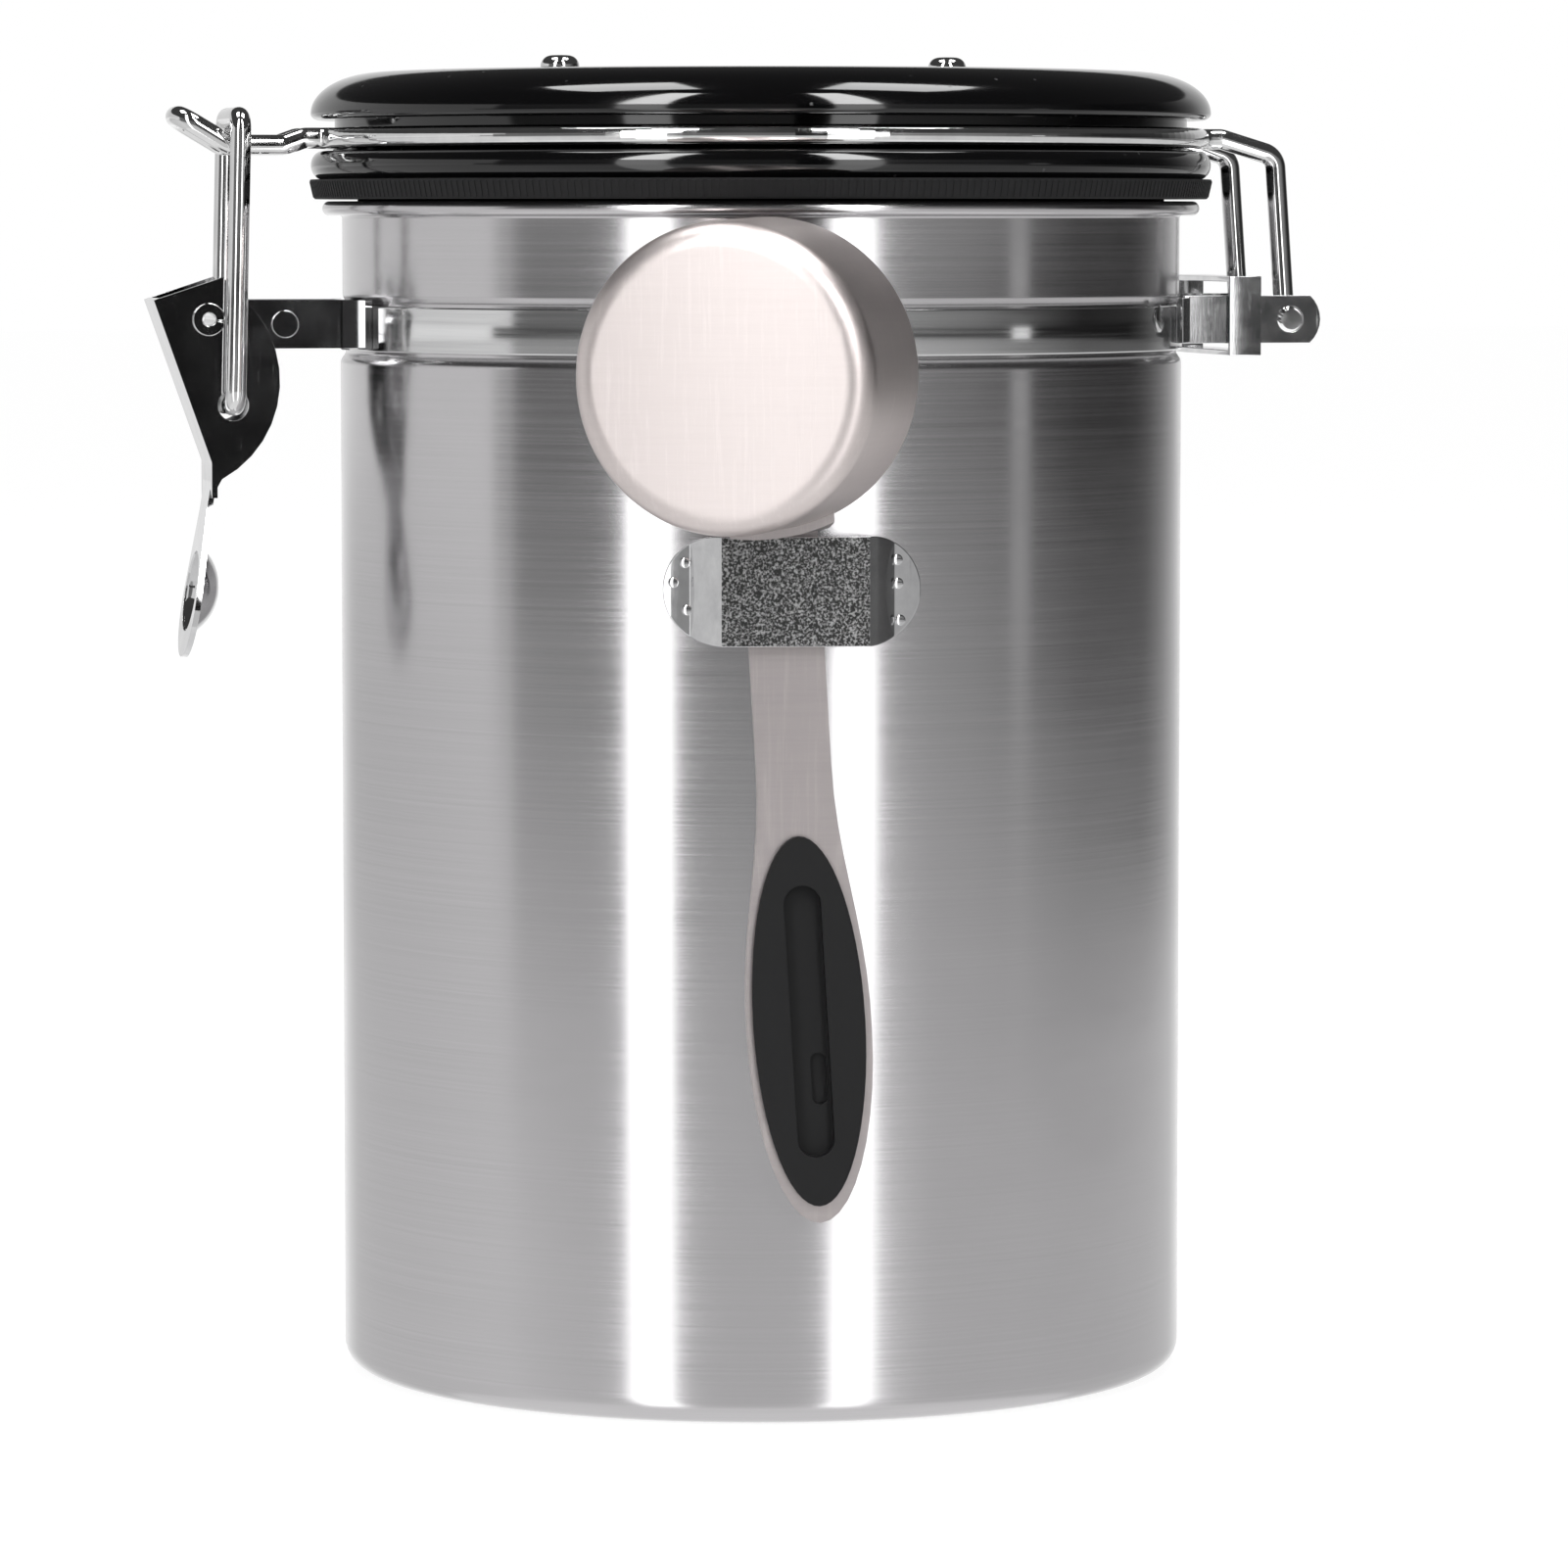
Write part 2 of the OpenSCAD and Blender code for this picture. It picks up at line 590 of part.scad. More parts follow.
module at_bracket() { rotate([0, 0, scoop_az]) translate([0, 0, bracket_z]) children(); }
module scoop_bracket() {
    ear_a = asin(bracket_w / 2 / body_r);
    foot_a = asin(bracket_foot_w / 2 / body_r);
    r_in = body_r + 0.05;
    r_out = r_in + bracket_t;
    half_in = bracket_top_w / 2;
    half_out = half_in + bracket_t;
    end_r = bracket_h / 2;
    outer = concat(arc([0, 0], r_out, r_out, -ear_a, -foot_a - 0.8, 3),
        [[bracket_top_x + bracket_t, -half_out], [bracket_top_x + bracket_t, half_out]],
        arc([0, 0], r_out, r_out, foot_a + 0.8, ear_a, 3));
    inner = concat(arc([0, 0], r_in, r_in, ear_a, foot_a, 3),
        [[bracket_top_x, half_in], [bracket_top_x, -half_in]], arc([0, 0], r_in, r_in, -foot_a, -ear_a, 3));
    color("gainsboro") at_bracket() intersection() {
        translate([0, 0, -bracket_h / 2]) linear_extrude(bracket_h) polygon(concat(outer, inner));
        translate([body_r / 2, 0, 0]) rotate([0, 90, 0]) linear_extrude(body_r) union() {
            square([bracket_h, bracket_w - 2 * end_r], center = true);
            for (s = [-1, 1]) translate([0, s * (bracket_w / 2 - end_r)]) circle(r = end_r);
        }
    }
}

// Half width of the handle at the height z under the bracket: a slim neck that swells to the grip
function swell(z, z0, z1) = (1 - cos(180 * min(1, max(0, (z0 - z) / (z0 - z1))))) / 2;
function handle_half(z) = neck_w / 2 + (grip_w - neck_w) / 2 * swell(z, grip_mid + 34.4, grip_mid + 0.4);
module handle_outline() {
    n = 10;
    side = [for (i = [0:n]) let (z = grip_mid + 38.4 + (nose_from - grip_mid - 38.4) * i / n) [handle_half(z), z]];
    tip = arc([0, nose_from], grip_w / 2, handle_l + nose_from, 0, -180, 20);
    other = [for (i = [n:-1:0]) [-side[i][0], side[i][1]]];
    polygon(concat([[-neck_w / 2, neck_top], [neck_w / 2, neck_top]], side, tip, other));
}
module grip_outline(in) {
    polygon(arc([0, grip_mid], grip_w / 2 - grip_edge - in, grip_l / 2 - in, 0, 354, 59));
}
module slot_outline(w, l) {
    square([w, l - w], center = true);
    for (s = [-1, 1]) translate([0, s * (l - w) / 2]) circle(d = w);
}
// Upright plate that faces +X, with its outline drawn as across and up
module front_plate(x, t) {
    translate([x, 0, 0]) rotate([90, 0, 90]) linear_extrude(t) children();
}
module at_handle() { at_bracket() translate([0, handle_y, 0]) rotate([handle_lean, 0, 0]) children(); }
module at_cup() { translate([cup_x, cup_y, cup_z]) rotate([0, 0, cup_yaw]) children(); }

module scoop_cup() {
    r = cup_d / 2;
    color("silver") at_handle() at_cup() rotate([0, 90, 0]) rotate_extrude() polygon(concat(
        [[r - cup_t, 0], [r, 0]], arc([r - cup_corner, cup_h - cup_corner], cup_corner, cup_corner, 0, 90),
        [[0, cup_h], [0, cup_h - cup_t]],
        arc([r - cup_corner, cup_h - cup_corner], cup_corner - cup_t, cup_corner - cup_t, 90, 0)));
}
module scoop_handle() {
    r = cup_d / 2;
    saddle_w = 14;
    color("silver") at_handle() {
        difference() {
            front_plate(handle_x, handle_t) handle_outline();
            front_plate(handle_x - 1, handle_t + 2) grip_outline(grip_lip);
        }
        intersection() {
            at_cup() rotate([0, 90, 0]) tube(handle_x - cup_x - 4, 10, r + fit_gap, r + saddle_t);
            translate([handle_x, cup_y - saddle_w / 2, cup_z - r - 2]) cube([cup_x - handle_x + 6, saddle_w, r]);
        }
    }
}
module scoop_grip() {
    front_x = handle_x + handle_t + 0.03;
    color("#1a1a1a") at_handle() difference() {
        union() {
            front_plate(front_x, grip_out) grip_outline(0);
            front_plate(handle_x - 0.5, handle_t + 1) grip_outline(grip_lip + 0.05);
            front_plate(handle_x - 0.6, 0.57) grip_outline(grip_edge);
        }
        translate([0, 0, grip_mid]) {
            front_plate(front_x + grip_out - slot_depth, slot_depth + 1) slot_outline(slot_w, slot_l);
            translate([0, 1, -8]) front_plate(handle_x - 2, 5) slot_outline(2, 7);
        }
    }
}

canister_body();
scoop_bracket();
band_front();
band_rear();
lever_bracket();
bracket_rivets();
lever_rivet();
hinge_tab_front();
hinge_tab_rear();
hinge_clip();
lid_wire();
lever();
catch_wire();
lid_base();
lid_cover();
lid_gasket();
lid_screws();
dial_plate();
day_ring();
month_ring();
day_nub();
month_nub();
vent_cap();
valve_seat();
valve_flap();
valve_filter();
filter_ring();
scoop_cup();
scoop_handle();
scoop_grip();
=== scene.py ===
import json
import math
import bmesh
import bpy
from mathutils import Matrix, Vector


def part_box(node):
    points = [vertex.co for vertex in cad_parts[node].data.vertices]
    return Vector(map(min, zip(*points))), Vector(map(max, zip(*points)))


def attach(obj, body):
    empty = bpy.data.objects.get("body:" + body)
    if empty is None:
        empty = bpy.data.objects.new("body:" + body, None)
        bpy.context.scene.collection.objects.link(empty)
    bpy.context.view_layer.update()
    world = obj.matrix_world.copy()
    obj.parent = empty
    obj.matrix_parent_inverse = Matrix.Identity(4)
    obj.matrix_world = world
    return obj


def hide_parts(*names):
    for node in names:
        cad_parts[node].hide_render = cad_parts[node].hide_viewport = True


# Coffee canister with a bail-wire lid, a one-way valve, a date dial and a scoop in a bracket on its front.
# Lengths in the dictionaries are millimetres and angles degrees. The objects are in metres, +Z up, with the
# hinge at +X and the lever at -X.
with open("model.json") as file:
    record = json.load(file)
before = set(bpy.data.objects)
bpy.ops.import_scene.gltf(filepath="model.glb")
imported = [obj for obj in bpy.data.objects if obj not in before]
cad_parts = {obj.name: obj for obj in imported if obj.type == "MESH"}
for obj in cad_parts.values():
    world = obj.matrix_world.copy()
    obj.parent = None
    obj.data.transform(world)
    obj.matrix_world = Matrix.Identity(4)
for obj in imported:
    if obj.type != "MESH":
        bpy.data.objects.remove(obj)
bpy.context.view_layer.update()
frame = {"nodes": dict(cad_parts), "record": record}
print("frame loaded:", len(frame["nodes"]), "nodes")

camera = {"azimuth": -12, "distance": 1032, "eyeHeight": 165.1, "focal": 165.4, "aside": 3.3, "tilt": 4.54}


def mm(value):
    return value / 1000


def corners(node):
    lo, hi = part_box(node)
    return lo * 1000, hi * 1000


# A point round the can. The angle is from the camera's direction, positive to the right.
def fromView(angle, distance, height):
    a = math.radians(camera["azimuth"] - 90 + angle)
    return Vector((mm(distance) * math.cos(a), mm(distance) * math.sin(a), mm(height)))


def makeCamera():
    data = bpy.data.cameras.new("camera")
    data.lens = camera["focal"]
    data.clip_end = 20
    cam = bpy.data.objects.new("camera", data)
    bpy.context.scene.collection.objects.link(cam)
    turn = math.radians(camera["azimuth"])
    right = Vector((math.cos(turn), math.sin(turn), 0))
    cam.location = fromView(0, camera["distance"], camera["eyeHeight"]) + right * mm(camera["aside"])
    cam.rotation_euler = (math.radians(90 - camera["tilt"]), 0, turn)
    bpy.context.scene.camera = cam


# Adds a node. A setting is an attribute of the node or the value of an input, and a link feeds an input.
def addNode(tree, kind, settings=None, links=None):
    node = tree.nodes.new(kind)
    for key, value in (settings or {}).items():
        if isinstance(key, str) and hasattr(node, key):
            setattr(node, key, value)
        else:
            node.inputs[key].default_value = value
    for key, socket in (links or {}).items():
        tree.links.new(socket, node.inputs[key])
    return node


def linearPart(value):
    c = value / 255
    return c / 12.92 if c <= 0.04045 else ((c + 0.055) / 1.055) ** 2.4


def linear(hexColour):
    return [linearPart(int(hexColour[i:i + 2], 16)) for i in (0, 2, 4)] + [1]


def newMaterial(name, **values):
    material = bpy.data.materials.new(name)
    material.use_nodes = True
    tree = material.node_tree
    shader = tree.nodes["Principled BSDF"]
    for key, value in values.items():
        shader.inputs[key.replace("_", " ")].default_value = value
    return material, tree, shader


def objectPoint(tree, scale, turn=(0, 0, 0)):
    coords = addNode(tree, "ShaderNodeTexCoord")
    return addNode(tree, "ShaderNodeMapping", {"Scale": scale, "Rotation": turn},
                   {"Vector": coords.outputs["Object"]}).outputs["Vector"]


def noise(tree, point, detail=3, roughness=0.6):
    return addNode(tree, "ShaderNodeTexNoise", {"Scale": 1, "Detail": detail, "Roughness": roughness},
                   {"Vector": point}).outputs["Fac"]


# Spreads the part of a factor between fromLow and fromHigh over low to high.
def spread(tree, factor, low, high, fromLow=0.3, fromHigh=0.7):
    return addNode(tree, "ShaderNodeMapRange",
                   {"From Min": fromLow, "From Max": fromHigh, "To Min": low, "To Max": high},
                   {"Value": factor}).outputs["Result"]


def total(tree, first, second):
    return addNode(tree, "ShaderNodeMath", {"operation": "ADD"}, {0: first, 1: second}).outputs[0]


# A colour between two, by a factor.
def tint(tree, factor, dark, light):
    return addNode(tree, "ShaderNodeMix", {"data_type": "RGBA", 6: linear(dark), 7: linear(light)},
                   {0: factor}).outputs[2]


# Fine relief, depth millimetres deep.
def bump(tree, shader, height, depth):
    node = addNode(tree, "ShaderNodeBump", {"Strength": 1, "Distance": mm(depth)}, {"Height": height})
    tree.links.new(node.outputs["Normal"], shader.inputs["Normal"])


# 304 stainless sheet, belt-brushed round the can: fine level lines that pull reflections into upright bands.
# The lines are drawn 0.25 mm apart, coarser than the real 0.05 mm, so that they show.
def brushedBody():
    material, tree, shader = newMaterial("stainless_brushed_round", Metallic=1, Anisotropic=0.7,
                                         Anisotropic_Rotation=0.25)
    around = addNode(tree, "ShaderNodeTangent", {"direction_type": "RADIAL", "axis": "Z"})
    tree.links.new(around.outputs["Tangent"], shader.inputs["Tangent"])
    lines = noise(tree, objectPoint(tree, (12, 12, 4000)))
    clouds = noise(tree, objectPoint(tree, (25, 25, 60)))
    tree.links.new(tint(tree, lines, "b8b7b8", "c6c4c6"), shader.inputs["Base Color"])
    tree.links.new(total(tree, spread(tree, lines, 0.18, 0.23), spread(tree, clouds, -0.02, 0.03)),
                   shader.inputs["Roughness"])
    bump(tree, shader, lines, depth=0.0012)
    return material


# Bright-rolled stainless strip of the clamp band: nearly a mirror, with faint level lines.
def polishedBand():
    material, tree, shader = newMaterial("stainless_bright_rolled", Metallic=1)
    lines = noise(tree, objectPoint(tree, (20, 20, 1500)))
    tree.links.new(tint(tree, lines, "bcbcbd", "e2e2e2"), shader.inputs["Base Color"])
    tree.links.new(spread(tree, lines, 0.07, 0.16), shader.inputs["Roughness"])
    bump(tree, shader, lines, depth=0.001)
    return material


# Nickel-plated drawn wire: smooth and mirror-like, slightly clouded by handling.
def platedWire():
    material, tree, shader = newMaterial("nickel_plated_wire", Metallic=1)
    wear = noise(tree, objectPoint(tree, (180, 180, 180)), detail=4)
    tree.links.new(tint(tree, wear, "c4c4c4", "e4e4e4"), shader.inputs["Base Color"])
    tree.links.new(spread(tree, wear, 0.05, 0.12), shader.inputs["Roughness"])
    return material


# Nickel-plated pressings of the lever, brackets and hinge: bright, with rubbed scuffs and short scratches.
def platedPress():
    material, tree, shader = newMaterial("nickel_plated_pressing", Metallic=1)
    scratch = noise(tree, objectPoint(tree, (900, 900, 70), turn=(0.3, 0.5, 0)), detail=5, roughness=0.75)
    rub = noise(tree, objectPoint(tree, (220, 220, 220)), detail=4)
    tree.links.new(tint(tree, rub, "b4b4b6", "e0e0e0"), shader.inputs["Base Color"])
    scored = spread(tree, scratch, 0.04, 0.16, fromLow=0.6, fromHigh=0.75)
    tree.links.new(total(tree, scored, spread(tree, rub, 0, 0.03)), shader.inputs["Roughness"])
    bump(tree, shader, scratch, depth=0.0015)
    return material


# Shot-blasted face of the scoop bracket: an even frosted grain, about 0.3 mm.
def frostedPlate():
    material, tree, shader = newMaterial("stainless_bead_blasted", Metallic=1)
    grain = noise(tree, objectPoint(tree, (3000, 3000, 3000)), detail=2)
    facet = spread(tree, grain, 0, 1, fromLow=0.46, fromHigh=0.66)
    tree.links.new(tint(tree, facet, "424242", "b0b0b0"), shader.inputs["Base Color"])
    tree.links.new(spread(tree, facet, 0.3, 0.45, fromLow=0, fromHigh=1), shader.inputs["Roughness"])
    bump(tree, shader, grain, depth=0.03)
    return material


# Stainless scoop, spun and hand-brushed: dull, with long crossing scratches.
def brushedScoop(name, dark, light):
    material, tree, shader = newMaterial(name, Metallic=1)
    one = noise(tree, objectPoint(tree, (60, 60, 1900), turn=(0, 0.35, 0)), detail=5, roughness=0.75)
    two = noise(tree, objectPoint(tree, (1400, 1400, 60), turn=(0.2, 0.6, 0)), detail=5, roughness=0.75)
    deep = spread(tree, two, 0, 1, fromLow=0.52, fromHigh=0.75)
    scaled = addNode(tree, "ShaderNodeMath", {"operation": "MULTIPLY", 1: 0.6}, {0: total(tree, one, deep)})
    marks = scaled.outputs[0]
    tree.links.new(tint(tree, marks, dark, light), shader.inputs["Base Color"])
    tree.links.new(spread(tree, marks, 0.4, 0.5), shader.inputs["Roughness"])
    bump(tree, shader, marks, depth=0.0025)
    return material


# Moulded black ABS, high gloss: sharp reflections, with a little dust that dulls it in specks.
def glossLid():
    material, tree, shader = newMaterial("abs_moulded_gloss_black", IOR=1.53)
    dust = addNode(tree, "ShaderNodeTexVoronoi", {"Scale": 1, "Randomness": 1},
                   {"Vector": objectPoint(tree, (260, 260, 260))}).outputs["Distance"]
    speck = spread(tree, dust, 1, 0, fromLow=0.05, fromHigh=0.09)
    smear = noise(tree, objectPoint(tree, (60, 60, 60)))
    tree.links.new(tint(tree, speck, "060607", "2c2c2d"), shader.inputs["Base Color"])
    dulled = spread(tree, speck, 0.06, 0.3, fromLow=0, fromHigh=1)
    tree.links.new(total(tree, dulled, spread(tree, smear, 0, 0.05)), shader.inputs["Roughness"])
    return material


# A satin surface with one even grain, for moulded plastic and rubber, paint and felt.
def mouldedSatin(name, dark, light, rough, grainMm, depth, ior=1.5, shine=0.5):
    material, tree, shader = newMaterial(name, IOR=ior, Specular_IOR_Level=shine)
    grain = noise(tree, objectPoint(tree, (1 / mm(grainMm),) * 3))
    tree.links.new(tint(tree, grain, dark, light), shader.inputs["Base Color"])
    tree.links.new(spread(tree, grain, rough - 0.06, rough + 0.06), shader.inputs["Roughness"])
    bump(tree, shader, grain, depth)
    return material


steelBody = brushedBody()
bandSteel = polishedBand()
wireNickel = platedWire()
pressNickel = platedPress()
frosted = frostedPlate()
cupSteel = brushedScoop("stainless_hand_brushed_cup", "cdc4c2", "e0d8d6")
handleSteel = brushedScoop("stainless_hand_brushed_handle", "a39d9d", "b8b1b0")
lidBlack = glossLid()
# In each of these: its two tints, roughness, grain, depth of the grain, index of refraction and shine.
silicone = mouldedSatin("silicone_moulded_black", "121213", "232324", 0.7, 0.8, 0.02, 1.43, 0.25)
dialSatin = mouldedSatin("abs_moulded_satin_black", "0e0e0f", "191919", 0.42, 0.5, 0.006, 1.53)
gripRubber = mouldedSatin("tpe_overmoulded_black", "0a0a0b", "151516", 0.6, 0.6, 0.012, 1.5, 0.25)
paintWhite = mouldedSatin("pad_printed_white", "d8d8d4", "efefec", 0.5, 0.3, 0.002)
valveGrey = mouldedSatin("polypropylene_moulded_grey", "3c3d3e", "4a4b4c", 0.5, 0.7, 0.006, 1.49)
flapSilicone = mouldedSatin("silicone_moulded_clear", "b8b6ae", "cfcdc6", 0.4, 0.8, 0.004, 1.43)
felt = mouldedSatin("polyester_needled_felt", "cfcabd", "ece8de", 0.95, 0.4, 0.06)
print("materials made")


bodyOf = {n: b for b, names in frame["record"]["behaviour"]["bodies"].items() for n in names}


# Makes an object of a mesh and lets it ride on a body. The nodes in replaced give way to it. With sharp 0 the
# mesh keeps its own normals.
def place(mesh, name, body, material, replaced=(), sharp=32):
    obj = bpy.data.objects.new(name, mesh)
    bpy.context.scene.collection.objects.link(obj)
    if not mesh.materials:
        mesh.materials.append(material)
    if sharp:
        shade(mesh, sharp)
    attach(obj, body)
    if replaced:
        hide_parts(*replaced)
    return obj


# Smooth faces, with edges sharper than the given angle kept crisp.
def shade(mesh, sharp):
    bm = bmesh.new()
    bm.from_mesh(mesh)
    for face in bm.faces:
        face.smooth = True
    for edge in bm.edges:
        edge.smooth = len(edge.link_faces) == 2 and edge.calc_face_angle(0) < math.radians(sharp)
    bm.to_mesh(mesh)
    bm.free()


# Rounds the corners of an outline. A point is (r, z) or (r, z, radius), in millimetres. A round takes at
# most the given part of the sides next to it.
def rounded(points, closed=True, steps=5, most=0.49):
    made = []
    count = len(points)
    for i, point in enumerate(points):
        at = Vector(point[:2])
        radius = point[2] if len(point) > 2 else 0
        if radius == 0 or (not closed and i in (0, count - 1)):
            made.append(tuple(at))
            continue
        back = Vector(points[i - 1][:2]) - at
        on = Vector(points[(i + 1) % count][:2]) - at
        angle = back.angle(on)
        cut = min(radius / math.tan(angle / 2), back.length * most, on.length * most)
        radius = cut * math.tan(angle / 2)
        centre = at + (back.normalized() + on.normalized()).normalized() * (radius / math.sin(angle / 2))
        first = at + back.normalized() * cut - centre
        sweep = math.pi - angle
        if back.x * on.y - back.y * on.x > 0:
            sweep = -sweep
        for k in range(steps + 1):
            a = sweep * k / steps
            turned = Vector((first.x * math.cos(a) - first.y * math.sin(a),
                             first.x * math.sin(a) + first.y * math.cos(a)))
            made.append(tuple(centre + turned))
    return made


# Turns an outline of (r, z) points about Z. An outline that starts and ends at r 0 closes at the axis.
# Points nearer than same, in metres, become one.
def lathe(outline, steps=256, start=0, end=360, where=None, same=1e-7):
    bm = bmesh.new()
    full = abs(end - start) >= 360
    rings = []
    for i in range(steps if full else steps + 1):
        a = math.radians(start + (end - start) * i / steps)
        rings.append([bm.verts.new((mm(r * math.cos(a)), mm(r * math.sin(a)), mm(z))) for r, z in outline])
    pairs = list(zip(rings, rings[1:] + rings[:1])) if full else list(zip(rings, rings[1:]))
    last = len(outline) - 1
    for left, right in pairs:
        for k in range(len(outline)):
            n = k + 1 if k < last else 0
            if outline[k][0] == 0 and outline[n][0] == 0:
                continue
            bm.faces.new([left[k], left[n], right[n], right[k]])
    if not full:
        bm.faces.new(rings[0])
        bm.faces.new(rings[-1])
    bmesh.ops.remove_doubles(bm, verts=bm.verts, dist=same)
    bmesh.ops.dissolve_degenerate(bm, edges=bm.edges, dist=same)
    bmesh.ops.recalc_face_normals(bm, faces=bm.faces)
    if where is not None:
        bm.transform(where)
    mesh = bpy.data.meshes.new("turned")
    bm.to_mesh(mesh)
    bm.free()
    return mesh


# How a dressed node is cleaned and rounded: the distance that merges corners, the angle between faces that
# counts as flat, and the angle from which an edge is rounded.
edges = {"merge": 0.002, "flat": 0.4, "from": 35, "segments": 2, "weight": 100}


# A copy of a CAD node with its edges broken by a small round, in millimetres.
def dressed(node, material, edge):
    bm = bmesh.new()
    bm.from_mesh(frame["nodes"][node].data)
    bmesh.ops.remove_doubles(bm, verts=bm.verts, dist=mm(edges["merge"]))
    bmesh.ops.dissolve_limit(bm, angle_limit=math.radians(edges["flat"]), verts=bm.verts, edges=bm.edges)
    for face in bm.faces:
        face.smooth = True
    mesh = bpy.data.meshes.new(node)
    bm.to_mesh(mesh)
    bm.free()
    obj = bpy.data.objects.new(node + "_dressed", mesh)
    bpy.context.scene.collection.objects.link(obj)
    rounding = obj.modifiers.new("edge", "BEVEL")
    rounding.width = mm(edge)
    rounding.segments = edges["segments"]
    rounding.limit_method = "ANGLE"
    rounding.angle_limit = math.radians(edges["from"])
    rounding.use_clamp_overlap = True
    even = obj.modifiers.new("even", "WEIGHTED_NORMAL")
    even.weight = edges["weight"]
    made = plain(obj)
    made.materials.clear()
    made.materials.append(material)
    return place(made, node + "_finish", bodyOf[node], material, (node,), sharp=0)


# The evaluated shape of an object as a plain mesh. The object itself is removed.
def plain(obj):
    bpy.context.view_layer.update()
    seen = obj.evaluated_get(bpy.context.evaluated_depsgraph_get())
    made = bpy.data.meshes.new_from_object(seen)
    obj.modifiers.clear()
    bpy.data.objects.remove(obj)
    return made


# A Geometry Nodes tree with its named inputs. Each input is (name, socket kind, value).
def newTree(name, inputs):
    tree = bpy.data.node_groups.new(name, "GeometryNodeTree")
    tree.interface.new_socket("Geometry", in_out="INPUT", socket_type="NodeSocketGeometry")
    tree.interface.new_socket("Geometry", in_out="OUTPUT", socket_type="NodeSocketGeometry")
    for label, kind, value in inputs:
        tree.interface.new_socket(label, in_out="INPUT", socket_type=kind).default_value = value
    enter = tree.nodes.new("NodeGroupInput")
    leave = tree.nodes.new("NodeGroupOutput")
    return tree, enter, leave


def endTree(tree, leave, geometry, material):
    real = addNode(tree, "GeometryNodeRealizeInstances", {}, {"Geometry": geometry})
    final = addNode(tree, "GeometryNodeSetMaterial", {"Material": material}, {"Geometry": real.outputs[0]})
    tree.links.new(final.outputs[0], leave.inputs[0])


def runTree(tree, mesh, values):
    obj = bpy.data.objects.new(tree.name, mesh)
    bpy.context.scene.collection.objects.link(obj)
    nodes = obj.modifiers.new("nodes", "NODES")
    nodes.node_group = tree
    for item in tree.interface.items_tree:
        if item.item_type == "SOCKET" and item.in_out == "INPUT" and item.name in values:
            nodes[item.identifier] = values[item.name]
    return plain(obj)


def pathMesh(points):
    mesh = bpy.data.meshes.new("path")
    links = [(i, i + 1) for i in range(len(points) - 1)]
    mesh.from_pydata([tuple(mm(v) for v in p) for p in points], links, [])
    return mesh


# Round wire bent along a path: every corner gets the bend radius, as on a wire former.
def wireTree(material):
    tree, enter, leave = newTree("bent_wire", [("Wire Radius", "NodeSocketFloat", 0.00145),
                                              ("Bend Radius", "NodeSocketFloat", 0.003)])
    line = addNode(tree, "GeometryNodeMeshToCurve", {}, {"Mesh": enter.outputs["Geometry"]})
    bent = addNode(tree, "GeometryNodeFilletCurve", {"mode": "POLY", "Count": 10, "Limit Radius": True},
                   {"Curve": line.outputs[0], "Radius": enter.outputs["Bend Radius"]})
    ring = addNode(tree, "GeometryNodeCurvePrimitiveCircle", {"Resolution": 24},
                   {"Radius": enter.outputs["Wire Radius"]})
    sheet = addNode(tree, "GeometryNodeCurveToMesh", {"Fill Caps": True},
                   {"Curve": bent.outputs[0], "Profile Curve": ring.outputs["Curve"]})
    endTree(tree, leave, sheet.outputs[0], material)
    return tree


wireFormer = wireTree(wireNickel)
print("tools ready")

# The can's section. foot is the round of its bottom edge, floor the heights of its bottom's two faces, and
# standing how far inside the foot the ring it stands on begins and ends. The steps bound the groove.
can = {"foot": 6, "wall": 0.6, "floor": (0.6, 1.4), "standing": (3, 1.5), "standingR": 1, "neckIn": 0.3,
       "grooveIn": 0.7, "bandDrop": 17.8, "bandHigh": 6.4, "beadOut": 2.5, "beadHigh": 2,
       "stepDown": 1.5, "stepIn": 0.5, "stepUp": 0.4, "stepNeck": 1.3, "stepR": 0.6, "shoulderR": 1.5,
       "insideUp": 1, "insideDown": 1.4, "neckR": 1.2, "beadR": 0.4, "mouthR": 0.7}


def canBody():
    top, rim = corners("canister_body")[1].z, corners("canister_body")[1].x
    out = rim - can["beadOut"]
    neck = out - can["neckIn"]
    seat = out - can["grooveIn"]
    low = top - can["bandDrop"] - can["bandHigh"] / 2
    high = low + can["bandHigh"]
    bead = can["beadHigh"]
    t, foot = can["wall"], can["foot"]
    under, over = can["floor"]
    ringIn, ringOut = (out - foot - inset for inset in can["standing"])
    outline = [(0, under), (ringIn, under, can["standingR"]), (ringOut, 0, can["standingR"]), (out, 0, foot),
               (out, low - can["stepDown"], can["shoulderR"]), (seat, low - can["stepIn"], can["stepR"]),
               (seat, high + can["stepUp"], can["stepR"]), (neck, high + can["stepNeck"], can["neckR"]),
               (neck, top - bead, can["beadR"]), (rim, top - bead, bead / 2), (rim, top, bead / 2),
               (neck - t, top, can["mouthR"]), (neck - t, high + can["insideUp"]),
               (seat - t, high + can["stepUp"]), (seat - t, low - can["stepIn"]),
               (out - t, low - can["insideDown"]), (out - t, over, foot - t), (0, over)]
    shell = lathe(rounded(outline, closed=False, steps=8), steps=320)
    place(shell, "can_shell", "can", steelBody, ("canister_body",), sharp=60)


# The band's two halves, each from one angle round the can to another.
band = {"thick": 0.8, "edgeR": 0.3, "spans": {"band_front": (184, 346.5), "band_rear": (13.5, 176)}}


